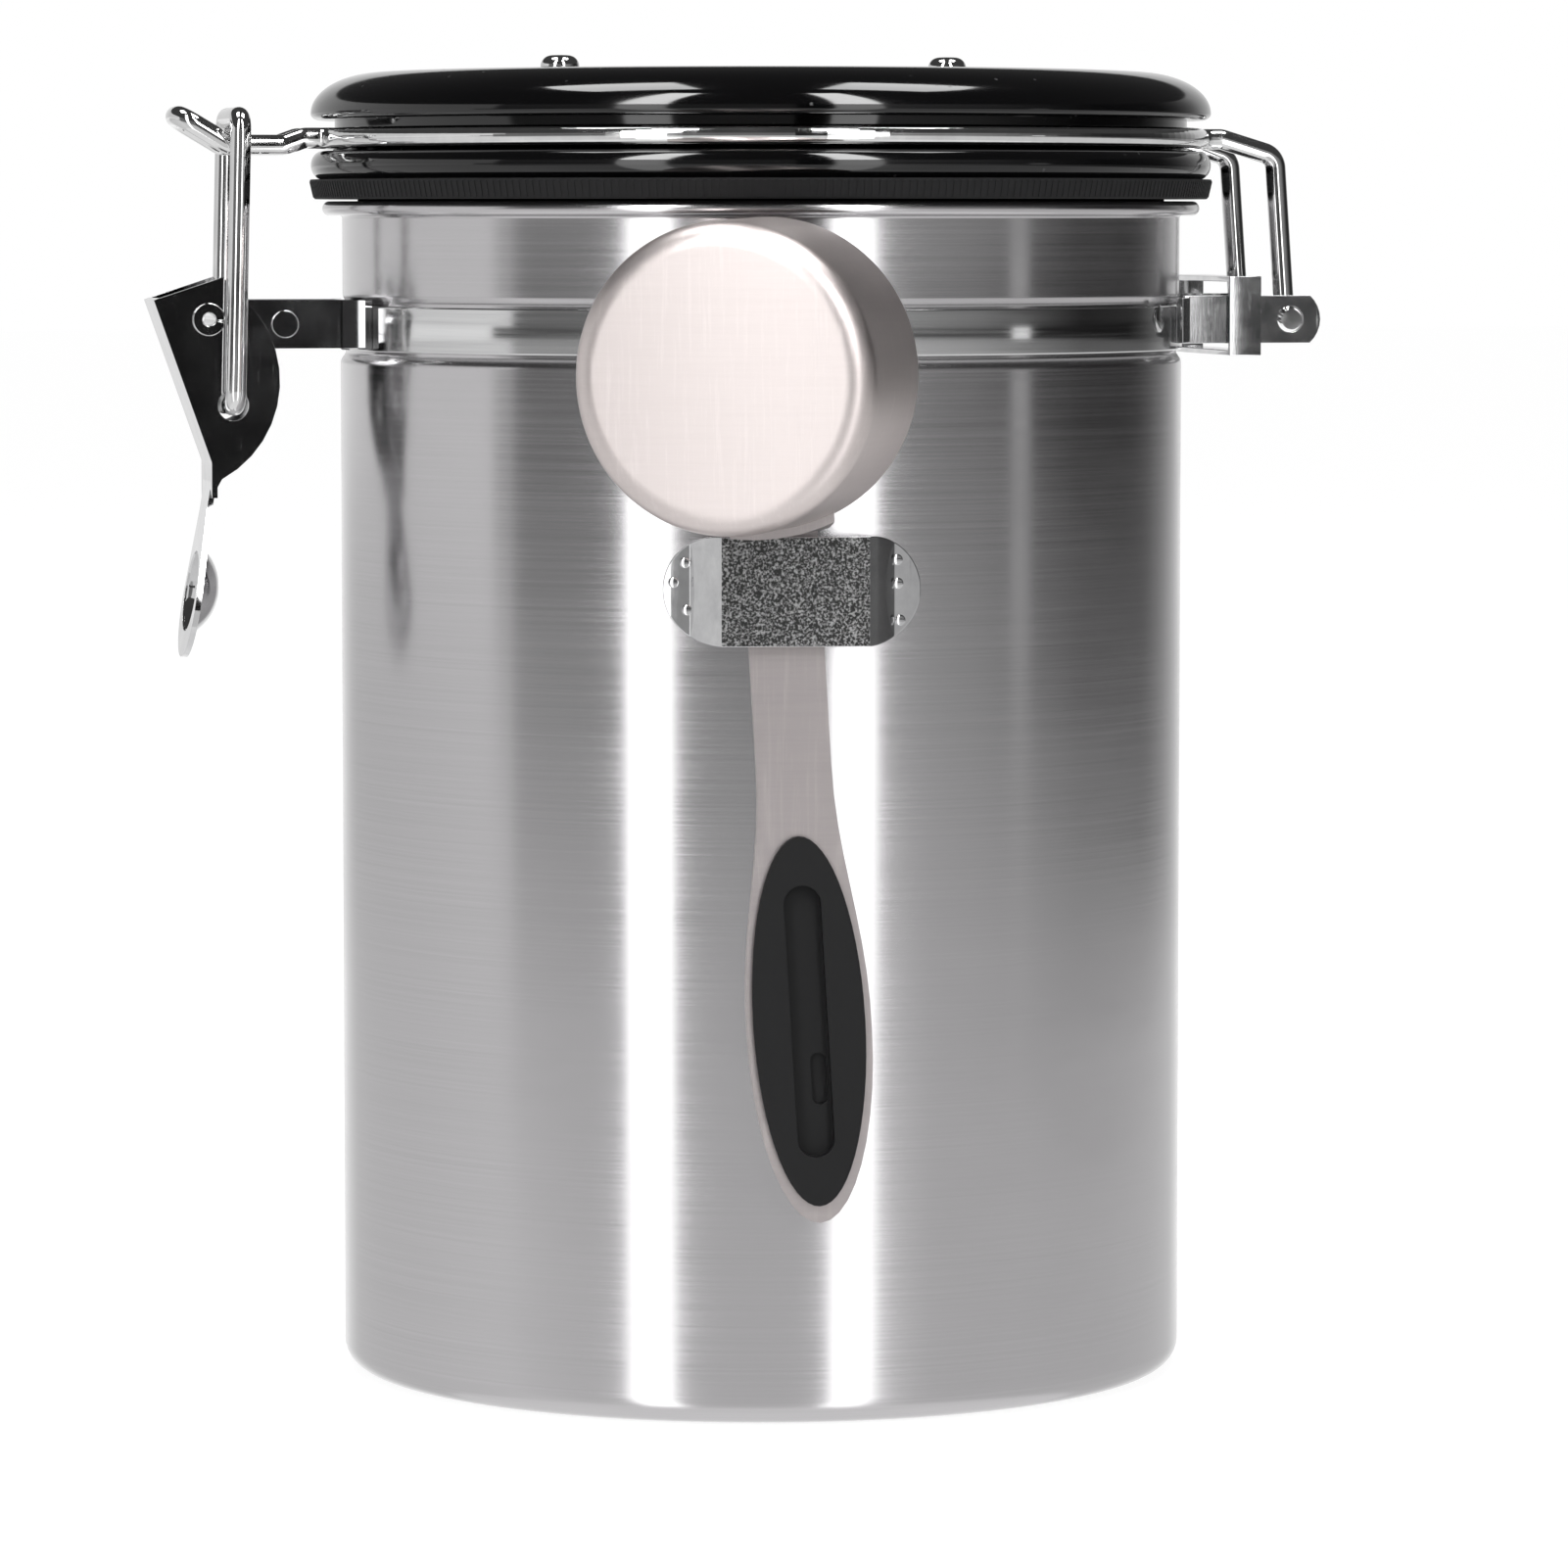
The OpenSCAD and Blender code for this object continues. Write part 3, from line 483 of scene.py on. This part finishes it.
def bandHalf(node):
    lo, hi = corners(node)
    radius = max(hi.y, -lo.y)
    inner = radius - band["thick"]
    outline = [(inner, lo.z), (radius, lo.z, band["edgeR"]), (radius, hi.z, band["edgeR"]), (inner, hi.z)]
    start, end = band["spans"][node]
    strip = lathe(rounded(outline), steps=200, start=start, end=end)
    place(strip, node + "_strip", "can", bandSteel, (node,))


canBody()
for node in band["spans"]:
    bandHalf(node)
print("can and band made")

# The lid's two halves meet in the groove of the lid wire, at grooveZ. The lips bulge out under and over it.
lid = {"lipR": 1.6, "plugR": 57.5, "plugTaper": 1.5, "wallT": 2, "grooveR": 60.7, "grooveZ": 173.7,
       "grooveRim": 0.4, "throatR": 8.8, "capR": 12, "domeW": 10, "domeFoot": 0.9, "domeLip": 1.2,
       "skirtGap": 0.2, "skirtT": 1.6, "skirtDown": 2, "dialFloor": 2, "dialGap": 0.3, "dialBevel": 0.4}
gasket = {"inside": 0.05, "lean": 0.3, "topR": 0.2, "ribs": 380, "ribW": 0.5, "ribProud": 0.14,
          "ribSunk": 0.05, "ribShort": 0.5, "ribTilt": 13}


# Points on an ellipse from one angle to another.
def ellipse(centre, across, up, first, last, steps=20):
    turn = [math.radians(first + (last - first) * i / steps) for i in range(steps + 1)]
    return [(centre[0] + across * math.cos(a), centre[1] + up * math.sin(a)) for a in turn]


# One copy of a small block at each of the points of a circle, turned to face outwards.
def ringTree(material):
    tree, enter, leave = newTree("blocks_round_a_ring", [
        ("Count", "NodeSocketInt", 60), ("Radius", "NodeSocketFloat", 0.06),
        ("Height", "NodeSocketFloat", 0.1), ("Size", "NodeSocketVector", (0.001, 0.001, 0.001)),
        ("Tilt", "NodeSocketFloat", 0.0)])
    ring = addNode(tree, "GeometryNodeMeshCircle", {},
                   {"Vertices": enter.outputs["Count"], "Radius": enter.outputs["Radius"]})
    raised = addNode(tree, "ShaderNodeCombineXYZ", {}, {"Z": enter.outputs["Height"]})
    lifted = addNode(tree, "GeometryNodeTransform", {},
                     {"Geometry": ring.outputs[0], "Translation": raised.outputs[0]})
    block = addNode(tree, "GeometryNodeMeshCube", {}, {"Size": enter.outputs["Size"]})
    index = addNode(tree, "GeometryNodeInputIndex")
    step = addNode(tree, "ShaderNodeMath", {"operation": "DIVIDE", 0: 2 * math.pi},
                   {1: enter.outputs["Count"]})
    angle = addNode(tree, "ShaderNodeMath", {"operation": "MULTIPLY"},
                    {0: index.outputs[0], 1: step.outputs[0]})
    turn = addNode(tree, "ShaderNodeCombineXYZ", {}, {"Y": enter.outputs["Tilt"], "Z": angle.outputs[0]})
    copies = addNode(tree, "GeometryNodeInstanceOnPoints", {},
                     {"Points": lifted.outputs[0], "Instance": block.outputs[0], "Rotation": turn.outputs[0]})
    endTree(tree, leave, copies.outputs[0], material)
    return tree


def lidBase(flange, out, dome):
    d, low = lid, corners("lid_base")[0].z
    wall, plug, lip, groove, meet = d["wallT"], d["plugR"], d["lipR"], d["grooveR"], d["grooveZ"]
    outline = [(d["throatR"], flange + wall), (d["throatR"], flange), (plug - wall, flange),
               (plug - wall - d["plugTaper"], low), (plug - d["plugTaper"], low),
               (plug, corners("canister_body")[1].z), (plug, flange)]
    outline += ellipse((out - lip, (flange + meet) / 2), lip, (meet - flange) / 2, -90, 90)
    outline += [(groove + d["grooveRim"], meet), (groove, meet + d["grooveRim"]), (groove, dome),
                (groove - wall, dome), (groove - wall, flange + wall)]
    place(lathe(outline, steps=320), "lid_base_shell", "lid", lidBlack, ("lid_base",), sharp=50)


def lidCover(out, dome):
    d = lid
    wall, wide, lip = d["wallT"], d["domeW"], d["domeLip"]
    seat, top = corners("dial_plate")[0].z, corners("lid_cover")[1].z
    ringR = corners("day_ring")[1].x
    edge = (out - wide, dome + d["domeFoot"])
    rise = top - edge[1]
    skirt = d["grooveR"] - wall - d["skirtGap"]
    skirtIn, skirtEnd = skirt - d["skirtT"], dome - d["skirtDown"]
    outline = [(d["capR"], seat), (d["capR"], seat - wall), (ringR + d["dialFloor"], seat - wall)]
    outline += ellipse(edge, wide - wall, rise - wall, 90, 25)
    outline += [(skirtIn, dome), (skirtIn, skirtEnd), (skirt, skirtEnd), (skirt, dome)]
    outline += ellipse((out - lip, edge[1]), lip, d["domeFoot"], -90, 0, steps=8)
    outline += ellipse(edge, wide, rise, 3, 90, steps=30)
    outline += [(ringR + d["dialGap"] + d["dialBevel"], top), (ringR + d["dialGap"], top - d["dialBevel"]),
                (ringR + d["dialGap"], seat)]
    place(lathe(outline, steps=320), "lid_cover_shell", "lid", lidBlack, ("lid_cover",), sharp=50)


def gasketRing(out):
    g = gasket
    lo, hi = corners("lid_gasket")
    proud, inner = g["ribProud"], lid["plugR"] + g["inside"]
    foot = out - g["lean"]
    outline = [(inner, lo.z), (foot - proud, lo.z, g["lean"]), (hi.x - proud, hi.z, g["topR"]), (inner, hi.z)]
    ring = lathe(rounded(outline), steps=320)
    place(ring, "gasket_ring", "lid", silicone, ("lid_gasket",), sharp=50)
    ribs = runTree(ringTree(silicone), bpy.data.meshes.new("none"), {
        "Count": g["ribs"], "Radius": mm((foot + hi.x) / 2 - proud - g["ribSunk"]),
        "Height": mm((lo.z + hi.z) / 2), "Tilt": math.radians(g["ribTilt"]),
        "Size": (mm(2 * proud), mm(g["ribW"]), mm(hi.z - lo.z - g["ribShort"]))})
    place(ribs, "gasket_ribs", "lid", silicone)


def makeLid():
    out, dome = corners("lid_cover")[1].x, corners("lid_base")[1].z
    lidBase(corners("lid_gasket")[1].z, out, dome)
    lidCover(out, dome)
    gasketRing(out)


dial = {"band": 9, "days": 31, "daySize": 3.3, "months": 12, "monthSize": 4.2, "paint": 0.04}
nub = {"footIn": 0.2, "footUp": 0.15, "domeHigh": 1.5, "domeWide": 1.6, "nodes": ("day_nub", "month_nub")}


# Numbers printed round a ring, read from outside the lid.
def numbers(ringNode, count, size, body, name):
    hi = corners(ringNode)[1]
    radius = hi.x - dial["band"] / 2
    parts = bmesh.new()
    for i in range(count):
        text = bpy.data.curves.new("number", "FONT")
        text.body = str(i + 1)
        text.size = mm(size)
        text.align_x = "CENTER"
        text.align_y = "CENTER"
        text.extrude = mm(dial["paint"] / 2)
        obj = bpy.data.objects.new("number", text)
        bpy.context.scene.collection.objects.link(obj)
        mesh = plain(obj)
        angle = math.radians(-90 + 360 * (i + 0.5) / count)
        where = Matrix.Rotation(angle + math.pi / 2, 4, "Z")
        up = mm(hi.z + dial["paint"] / 2)
        at = Vector((mm(radius) * math.cos(angle), mm(radius) * math.sin(angle), up))
        mesh.transform(Matrix.Translation(at) @ where)
        parts.from_mesh(mesh)
    mesh = bpy.data.meshes.new(name)
    parts.to_mesh(mesh)
    parts.free()
    place(mesh, name, body, paintWhite)


def makeDial():
    for node in ("dial_plate", "day_ring", "month_ring", "vent_cap"):
        dressed(node, dialSatin, edge=0.12)
    numbers("day_ring", dial["days"], dial["daySize"], "day_dial", "day_numbers")
    numbers("month_ring", dial["months"], dial["monthSize"], "month_dial", "month_numbers")
    for node in nub["nodes"]:
        lo, hi = corners(node)
        centre = (lo + hi) / 2
        r = (hi.x - lo.x) / 2
        high, dome, wide = hi.z - lo.z, nub["domeHigh"], nub["domeWide"]
        outline = [(0, 0), (r - nub["footIn"], 0), (r, nub["footUp"]), (r, high - dome)]
        outline += ellipse((r - wide, high - dome), wide, dome, 10, 90, steps=10) + [(0, high)]
        at = Matrix.Translation(Vector((centre.x, centre.y, lo.z)) / 1000)
        knob = lathe(outline, steps=64, where=at)
        place(knob, node + "_knob", bodyOf[node], wireNickel, (node,), sharp=60)
    for node, look in (("valve_seat", valveGrey), ("valve_flap", flapSilicone), ("filter_ring", dialSatin),
                       ("valve_filter", felt), ("lid_screws", pressNickel)):
        dressed(node, look, edge=0.1)


makeLid()
makeDial()
print("lid made")

# The lid wire. The arc stops arcTrim degrees short of the corners where the legs and the nose leave it.
wire = {"radius": 1.45, "hingeX": 74.2, "pinEndY": 15.85, "ringR": 62.45, "ringZ": 175.45, "arcTrim": 5,
        "arcSteps": 80, "legY": 12.2, "legFrom": 64.66, "legTopX": 72.6, "legTopZ": 173.05, "noseY": 4,
        "noseZ": 174.45, "noseFrom": -66.27, "noseLow": -69.07, "noseBendX": -76.9, "tipX": -83.6, "tipUp": 4,
        "bend": 2.4}


# Makes a wire from half of its path: out along it, and back along its mirror image across Y.
def formWire(half, bend, name, body, node):
    path = half + [(x, -y, z) for x, y, z in reversed(half)]
    mesh = runTree(wireFormer, pathMesh(path), {"Wire Radius": mm(wire["radius"]), "Bend Radius": mm(bend)})
    place(mesh, name, body, wireNickel, (node,), sharp=60)


# The lid wire in one run: hinge pin, leg, ring, nose, and back the other way.
def lidWire():
    w = wire
    hingeX, hingeZ = w["hingeX"], corners("lid_wire")[0].z + w["radius"]
    z, leg, nose, r, n = w["ringZ"], w["legY"], w["noseY"], w["ringR"], w["arcSteps"]
    half = [(hingeX, w["pinEndY"], hingeZ), (hingeX, leg, hingeZ), (w["legTopX"], leg, w["legTopZ"]),
            (w["legFrom"], leg, z), (math.sqrt(r * r - leg * leg), leg, z)]
    first = math.degrees(math.asin(leg / r)) + w["arcTrim"]
    last = 180 - math.degrees(math.asin(nose / r)) - w["arcTrim"]
    half += [(r * math.cos(math.radians(a)), r * math.sin(math.radians(a)), z)
             for a in [first + (last - first) * i / n for i in range(n + 1)]]
    low = w["noseZ"]
    half += [(-math.sqrt(r * r - nose * nose), nose, z), (w["noseFrom"], nose, z), (w["noseLow"], nose, low),
             (w["noseBendX"], nose, low), (w["tipX"], nose, low + w["tipUp"])]
    formWire(half, w["bend"], "lid_wire_formed", "bail", "lid_wire")


catch = {"x": -76.7, "z": 138.1, "hookX": -75.7, "hookZ": 178.3, "y": 8.05, "endY": 3.75, "bend": 2.2}


def catchWire():
    c = catch
    half = [(c["x"], -c["endY"], c["z"]), (c["x"], -c["y"], c["z"]), (c["hookX"], -c["y"], c["hookZ"])]
    formWire(half, c["bend"], "catch_wire_formed", "catch", "catch_wire")


lidWire()
catchWire()
for node in ("lever", "lever_bracket", "hinge_tab_front", "hinge_tab_rear", "hinge_clip", "bracket_rivets",
             "lever_rivet"):
    dressed(node, pressNickel, edge=0.12)
print("wires and fittings made")

# The scoop hangs in its bracket, whose middle is bracketDrop under the can's rim. cupX, cupY and cupZ lead
# from there to the middle of the cup's mouth, and lipR rounds the mouth's rim.
scoop = {"azimuth": -97.7, "bracketDrop": 52.4, "handleY": -1.5, "lean": 3.4, "cupX": 69, "cupY": -0.5,
         "cupZ": 29.6, "yaw": -22, "cupR": 20.75, "cupH": 22, "wall": 0.8, "corner": 3.5, "lipR": 0.35}


def bracketUp():
    return corners("canister_body")[1].z - scoop["bracketDrop"]


def handlePlace():
    s = scoop
    move = Matrix.Translation((0, mm(s["handleY"]), mm(bracketUp())))
    turn = Matrix.Rotation(math.radians(s["azimuth"]), 4, "Z")
    return turn @ move @ Matrix.Rotation(math.radians(s["lean"]), 4, "X")


def cupPlace():
    s = scoop
    at = handlePlace() @ Matrix.Translation((mm(s["cupX"]), mm(s["cupY"]), mm(s["cupZ"])))
    return at @ Matrix.Rotation(math.radians(s["yaw"]), 4, "Z") @ Matrix.Rotation(math.pi / 2, 4, "Y")


# A thin black sheet of painted shade that closes the grip's pill-shaped hole at the bottom of its recess, in
# place of the shade seen through the hole, in the handle's own frame.
sheet = {"x": 60.9, "y": 1, "z": -66.4, "wide": 2.1, "long": 7.1, "thick": 0.15, "steps": 12}


def makeHoleShade():
    s = sheet
    r, n = s["wide"] / 2, s["steps"]
    rim = []
    for i in range(2 * n + 2):
        side = 1 if i <= n else -1
        a = math.pi * (i if i <= n else i - 1) / n
        rim.append((s["y"] + r * math.cos(a), s["z"] + side * (s["long"] / 2 - r) + r * math.sin(a)))
    count = len(rim)
    points = [(mm(x), mm(y), mm(z)) for x in (s["x"], s["x"] + s["thick"]) for y, z in rim]
    faces = [tuple(range(count))[::-1], tuple(range(count, 2 * count))]
    faces += [(i, (i + 1) % count, count + (i + 1) % count, count + i) for i in range(count)]
    mesh = bpy.data.meshes.new("grip_hole_painted_shade")
    mesh.from_pydata(points, [], faces)
    mesh.transform(handlePlace())
    # The black sheet is painted shade in the grip's hole, not a real part.
    place(mesh, "grip_hole_painted_shade", "scoop", gripRubber)


def makeScoop():
    s = scoop
    r, h, t, lip = s["cupR"], s["cupH"], s["wall"], s["lipR"]
    outline = [(0, h - t), (r - t, h - t, s["corner"] - t), (r - t, 0, lip), (r, 0, lip), (r, h, s["corner"]),
               (0, h)]
    cup = lathe(rounded(outline, closed=False, steps=10), where=cupPlace())
    place(cup, "scoop_cup_spun", "scoop", cupSteel, ("scoop_cup",), sharp=50)
    dressed("scoop_handle", handleSteel, edge=0.2)
    dressed("scoop_grip", gripRubber, edge=0.3)
    # Painted shade: a black sheet in the grip's hole.
    makeHoleShade()


bracket = {"within": 0.05, "facing": 0.95}


# The bracket's raised face is frosted, its ears and slanted sides stay bright. The face is every polygon that
# looks outwards and lies within a little of the outermost point.
def makeBracket():
    obj = dressed("scoop_bracket", pressNickel, edge=0.12)
    obj.data.materials.append(frosted)
    out = Matrix.Rotation(math.radians(scoop["azimuth"]), 3, "Z") @ Vector((1, 0, 0))
    outermost = max(v.co.dot(out) for v in obj.data.vertices) - mm(bracket["within"])
    for polygon in obj.data.polygons:
        if polygon.center.dot(out) > outermost and polygon.normal.dot(out) > bracket["facing"]:
            polygon.material_index = 1


# Where the weld buttons sit. On the bracket's ears they are (millimetres across, height) from its middle, and
# on the band (angle round the can, height), where its tabs' feet are welded.
weld = {"bracketAt": [(-14.7, 3.7), (-16.3, 1), (-14.4, -2.7), (14.4, 4), (14.5, 0.8), (14.8, -4.2)],
        "bracketR": 60.85, "bracketSize": 0.75, "bandAt": [(-171, 149), (-34.2, 150.2)], "bandR": 60.3,
        "bandSize": 1.9, "flat": 0.16}


# Small spot-weld buttons on the can's wall, each turned to face straight out.
def weldTree(material):
    tree, enter, leave = newTree("spot_welds", [("Radius", "NodeSocketFloat", 0.0007),
                                               ("Flatness", "NodeSocketFloat", 0.2)])
    button = addNode(tree, "GeometryNodeMeshUVSphere", {"Segments": 16, "Rings": 8},
                     {"Radius": enter.outputs["Radius"]})
    point = addNode(tree, "GeometryNodeInputPosition")
    level = addNode(tree, "ShaderNodeVectorMath", {"operation": "MULTIPLY", 1: (1, 1, 0)},
                    {0: point.outputs[0]})
    turn = addNode(tree, "FunctionNodeAlignEulerToVector", {"axis": "Z"}, {"Vector": level.outputs[0]})
    thin = addNode(tree, "ShaderNodeCombineXYZ", {"X": 1, "Y": 1}, {"Z": enter.outputs["Flatness"]})
    copies = addNode(tree, "GeometryNodeInstanceOnPoints", {},
                     {"Points": enter.outputs["Geometry"], "Instance": button.outputs[0],
                      "Rotation": turn.outputs[0], "Scale": thin.outputs[0]})
    endTree(tree, leave, copies.outputs[0], material)
    return tree


# Buttons at the given (angle, height) pairs, at one distance from the can's axis.
def spots(name, at, distance, size, material):
    points = []
    for angle, z in at:
        a = math.radians(angle)
        points.append((distance * math.cos(a), distance * math.sin(a), z))
    mesh = runTree(weldTree(material), pathMesh(points), {"Radius": mm(size), "Flatness": weld["flat"]})
    place(mesh, name, "can", material)


def makeWelds():
    w, up = weld, bracketUp()
    ears = [(scoop["azimuth"] + math.degrees(across / w["bracketR"]), up + z) for across, z in w["bracketAt"]]
    spots("bracket_welds", ears, w["bracketR"], w["bracketSize"], pressNickel)
    spots("band_welds", w["bandAt"], w["bandR"], w["bandSize"], bandSteel)


makeScoop()
makeBracket()
makeWelds()
print("scoop and bracket made")

# A round room of grey screens, seen only in reflections, in five rows from below the floor upwards. A row is
# (its top, the grey of its boxes, its flag, stops). A stop is (angle from the camera's direction, the grey
# that brushed steel shows there), and gain turns that grey into the screen's light. The two tall boxes and
# the black flag stand at the same angles in each row. The greys come from the can's brightness in the photo,
# measured across it at several heights, traced back to the screens, thinned and rounded. A lamp is (name,
# angle, height, distance, size, watts).
studio = {"wallR": 1000, "floor": -900, "gain": 1.85, "boxes": [(-35, -23), (18.5, 30)], "flag": (9, 17.5),
          "rows": [(-40, 300, 170, [(-180, 220), (-145, 170), (-70, 185), (-35, 170), (20, 170), (30, 190),
                                    (45, 170), (150, 170), (180, 220)]),
                   (95, 320, 20, [(-180, 220), (-145, 160), (-70, 180), (-67, 130), (10, 120), (30, 155),
                                  (60, 130), (95, 80), (125, 80), (150, 150), (180, 220)]),
                   (160, 320, 20, [(-180, 185), (-75, 200), (-74, 55), (69, 55), (70, 205), (75, 205),
                                   (76, 20), (115, 20), (160, 175), (180, 185)]),
                   (480, 320, 20, [(-180, 185), (-150, 165), (-69, 185), (-67, 90), (10, 90), (30, 125),
                                   (60, 100), (95, 30), (120, 40), (150, 155), (180, 185)]),
                   (2000, 620, 35, [(-180, 50), (180, 50)])],
          "stepsPerDegree": 2, "overlap": 10, "ceiling": 0.06, "panel": 9, "panelIn": 300, "panelOut": 1000,
          "panelBack": -450, "panelFront": 350, "panelDrop": 20, "aimAt": 95,
          "lamps": [("lamp_left", -60, 700, 1500, 900, 8), ("lamp_right", 60, 700, 1500, 900, 8),
                    ("lamp_top", 180, 1600, 300, 1200, 10)]}


def softbox(name, angle, height, distance, wide, power):
    data = bpy.data.lights.new(name, "AREA")
    data.size = mm(wide)
    data.energy = power
    lamp = bpy.data.objects.new(name, data)
    bpy.context.scene.collection.objects.link(lamp)
    lamp.location = fromView(angle, distance, height)
    aim = Vector((0, 0, mm(studio["aimAt"]))) - lamp.location
    lamp.rotation_euler = aim.to_track_quat("-Z", "Y").to_euler()
    lamp.visible_camera = False
    lamp.visible_glossy = False


def greyAt(row, angle):
    box, flag, stops = row[1:]
    if any(first <= angle <= last for first, last in studio["boxes"]):
        return box
    if studio["flag"][0] <= angle <= studio["flag"][1]:
        return flag
    for (first, low), (last, high) in zip(stops, stops[1:]):
        if angle <= last:
            return low + (high - low) * (angle - first) / (last - first)


# A glow that takes its grey from the mesh, or from the given value.
def glow(name, strength, attribute=None):
    material = bpy.data.materials.new(name)
    material.use_nodes = True
    tree = material.node_tree
    tree.nodes.clear()
    light = addNode(tree, "ShaderNodeEmission", {"Strength": strength})
    if attribute:
        grey = addNode(tree, "ShaderNodeAttribute", {"attribute_name": attribute})
        tree.links.new(grey.outputs["Color"], light.inputs["Color"])
    addNode(tree, "ShaderNodeOutputMaterial", {}, {"Surface": light.outputs[0]})
    return material


# Something of the studio that only reflections see.
def reflector(mesh, name, material):
    mesh.materials.append(material)
    obj = bpy.data.objects.new(name, mesh)
    bpy.context.scene.collection.objects.link(obj)
    obj.visible_camera = False
    obj.visible_diffuse = False
    obj.visible_shadow = False


def wall(name, row, low):
    mesh = bpy.data.meshes.new(name)
    n = studio["stepsPerDegree"]
    angles = [i / n for i in range(-180 * n, 180 * n + 1)]
    rows = [fromView(a, studio["wallR"], 0) for a in angles]
    mesh.from_pydata([(at.x, at.y, mm(z)) for at in rows for z in (low, row[0])], [],
                     [(2 * i, 2 * i + 2, 2 * i + 3, 2 * i + 1) for i in range(len(angles) - 1)])
    greys = mesh.color_attributes.new("wallGrey", "FLOAT_COLOR", "POINT")
    for i, angle in enumerate(angles):
        level = (linearPart(greyAt(row, angle)),) * 3 + (1,)
        greys.data[2 * i].color = level
        greys.data[2 * i + 1].color = level
    reflector(mesh, name, glow(name, studio["gain"], "wallGrey"))


# A level panel, as the ceiling and the lights below it. Its sides are measured from the can's axis, to the
# right and towards the camera.
def panel(name, right, left, back, front, height, strength):
    turn = Matrix.Rotation(math.radians(camera["azimuth"]), 4, "Z")
    mesh = bpy.data.meshes.new(name)
    ends = [(right, back), (right, front), (left, front), (left, back)]
    mesh.from_pydata([turn @ Vector((mm(x), -mm(y), mm(height))) for x, y in ends], [], [(0, 1, 2, 3)])
    reflector(mesh, name, glow(name, strength))


# White for the camera and for reflections, dimmer as a light, so that the lamps still shape the object.
backdrop = {"light": 0.55, "seen": 1.0}


def makeWorld():
    world = bpy.data.worlds.new("studio")
    bpy.context.scene.world = world
    world.use_nodes = True
    tree = world.node_tree
    tree.nodes.clear()
    rays = addNode(tree, "ShaderNodeLightPath")
    seen = rays.outputs["Is Camera Ray"]
    for kind in ("Is Glossy Ray", "Is Transmission Ray"):
        seen = addNode(tree, "ShaderNodeMath", {"operation": "MAXIMUM"},
                       {0: seen, 1: rays.outputs[kind]}).outputs[0]
    level = addNode(tree, "ShaderNodeMapRange", {"To Min": backdrop["light"], "To Max": backdrop["seen"]},
                    {"Value": seen})
    sky = addNode(tree, "ShaderNodeBackground", {"Color": (1, 1, 1, 1)}, {"Strength": level.outputs[0]})
    addNode(tree, "ShaderNodeOutputWorld", {}, {"Surface": sky.outputs[0]})


def makeRoom():
    c = studio
    low = c["floor"]
    for row in c["rows"]:
        wall("wall", row, low)
        low = row[0]
    edge = c["wallR"] + c["overlap"]
    panel("ceiling", -edge, edge, -edge, edge, low, c["ceiling"])
    for side in (-1, 1):
        panel("ceiling_box", side * c["panelIn"], side * c["panelOut"], c["panelBack"], c["panelFront"],
              low - c["panelDrop"], c["panel"])
    for lamp in c["lamps"]:
        softbox(*lamp)


# White paper. Part of what the camera sees of it is its own glow, so that it joins the backdrop.
paper = {"tint": "fafafa", "roughness": 0.9, "halfSize": 9000, "glow": 1.16, "share": 0.72}


def makeFloor():
    bm = bmesh.new()
    bmesh.ops.create_grid(bm, x_segments=1, y_segments=1, size=mm(paper["halfSize"]))
    mesh = bpy.data.meshes.new("floor")
    bm.to_mesh(mesh)
    bm.free()
    material, tree, shader = newMaterial("studio_paper", Base_Color=linear(paper["tint"]),
                                         Roughness=paper["roughness"])
    rays = addNode(tree, "ShaderNodeLightPath")
    own = addNode(tree, "ShaderNodeEmission", {"Color": (1, 1, 1, 1), "Strength": paper["glow"]})
    share = addNode(tree, "ShaderNodeMath", {"operation": "MULTIPLY", 1: paper["share"]},
                    {0: rays.outputs["Is Camera Ray"]})
    both = addNode(tree, "ShaderNodeMixShader", {},
                   {0: share.outputs[0], 1: shader.outputs[0], 2: own.outputs[0]})
    tree.links.new(both.outputs[0], tree.nodes["Material Output"].inputs["Surface"])
    mesh.materials.append(material)
    floor = bpy.data.objects.new("floor", mesh)
    bpy.context.scene.collection.objects.link(floor)
    floor.visible_glossy = False


makeCamera()
makeWorld()
makeRoom()
makeFloor()
print("camera and studio made")
bpy.context.scene.view_settings.view_transform = "Standard"
print("scene ready")
